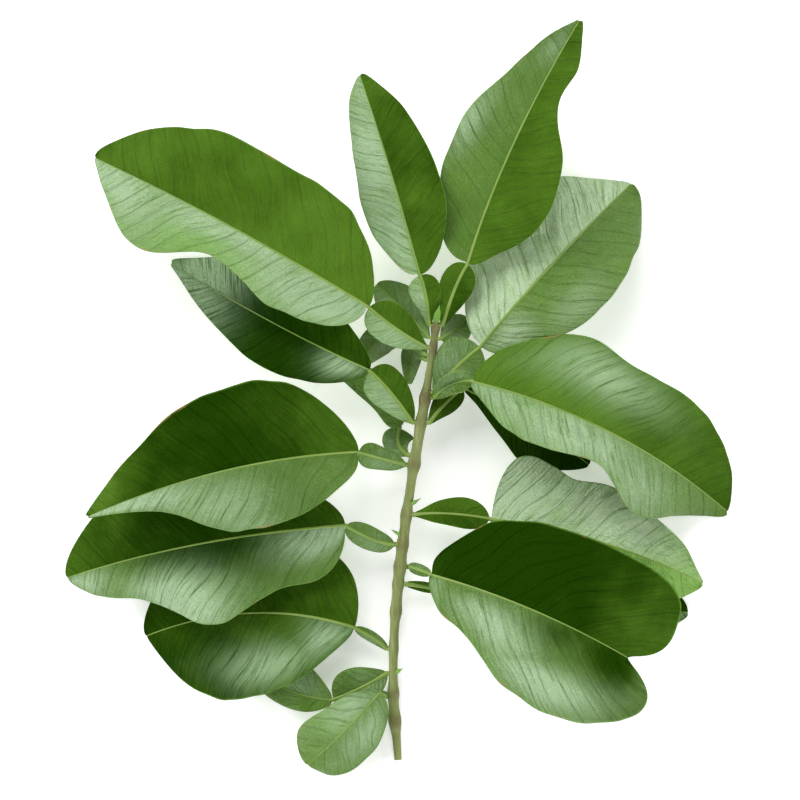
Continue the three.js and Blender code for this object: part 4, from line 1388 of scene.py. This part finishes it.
class SPRIG_OT_stage(bpy.types.Operator):
    """Makes the floor, the studio light and the camera that looks straight down"""

    bl_idname = "sprig.stage"
    bl_label = "Stage"

    def execute(self, context):
        scene = context.scene
        corners = [
            (x * FLOOR_HALF, y * FLOOR_HALF, 0) for x, y in ((-1, -1), (1, -1), (1, 1), (-1, 1))
        ]
        mesh = bpy.data.meshes.new("floor")
        mesh.from_pydata(corners, [], [(0, 1, 2, 3)])
        mesh.materials.append(floor_finish("floor", scene.sprig_colours))
        new_object("floor", mesh)

        world = bpy.data.worlds.new("studio")
        world.use_nodes = True
        sky = world.node_tree.nodes["Background"]
        sky.inputs[0].default_value = WORLD_COLOUR
        sky.inputs[1].default_value = WORLD_LIGHT
        scene.world = world
        for light in LIGHTS:
            add_light(*light)

        camera = bpy.data.cameras.new("camera")
        camera.sensor_width = SENSOR
        camera.lens = SENSOR * (CAMERA_HEIGHT - LEAF_HEIGHT) / FIELD
        camera.clip_end = FAR_END
        viewer = bpy.data.objects.new("camera", camera)
        viewer.location = (SHIFT[0] * MM, SHIFT[1] * MM, CAMERA_HEIGHT)
        scene.collection.objects.link(viewer)
        scene.camera = viewer
        scene.view_settings.view_transform = "Standard"
        return {"FINISHED"}


class SPRIG_PT_panel(bpy.types.Panel):
    """Lists the sprig's settings and the operators that make it"""

    bl_idname = "SPRIG_PT_panel"
    bl_label = "Pomelo leaf sprig"
    bl_space_type = "VIEW_3D"
    bl_region_type = "UI"
    bl_category = "Sprig"

    def draw(self, context):
        for group in (context.scene.sprig_sizes, context.scene.sprig_colours):
            column = self.layout.column()
            for key in group.__annotations__:
                column.prop(group, key)
        for operator in OPERATORS:
            self.layout.operator(operator.bl_idname)


OPERATORS = (
    SPRIG_OT_stem, SPRIG_OT_petioles, SPRIG_OT_blades, SPRIG_OT_young_leaves, SPRIG_OT_buds,
    SPRIG_OT_thorns, SPRIG_OT_stage,
)
CLASSES = (SprigSizes, SprigColours, *OPERATORS, SPRIG_PT_panel)


def register():
    for cls in CLASSES:
        bpy.utils.register_class(cls)
    bpy.types.Scene.sprig_sizes = bpy.props.PointerProperty(type=SprigSizes)
    bpy.types.Scene.sprig_colours = bpy.props.PointerProperty(type=SprigColours)


def unregister():
    del bpy.types.Scene.sprig_colours
    del bpy.types.Scene.sprig_sizes
    for cls in reversed(CLASSES):
        bpy.utils.unregister_class(cls)


def main():
    register()
    for operator in OPERATORS:
        group, name = operator.bl_idname.split(".")
        getattr(getattr(bpy.ops, group), name)()


if __name__ == "__main__":
    main()
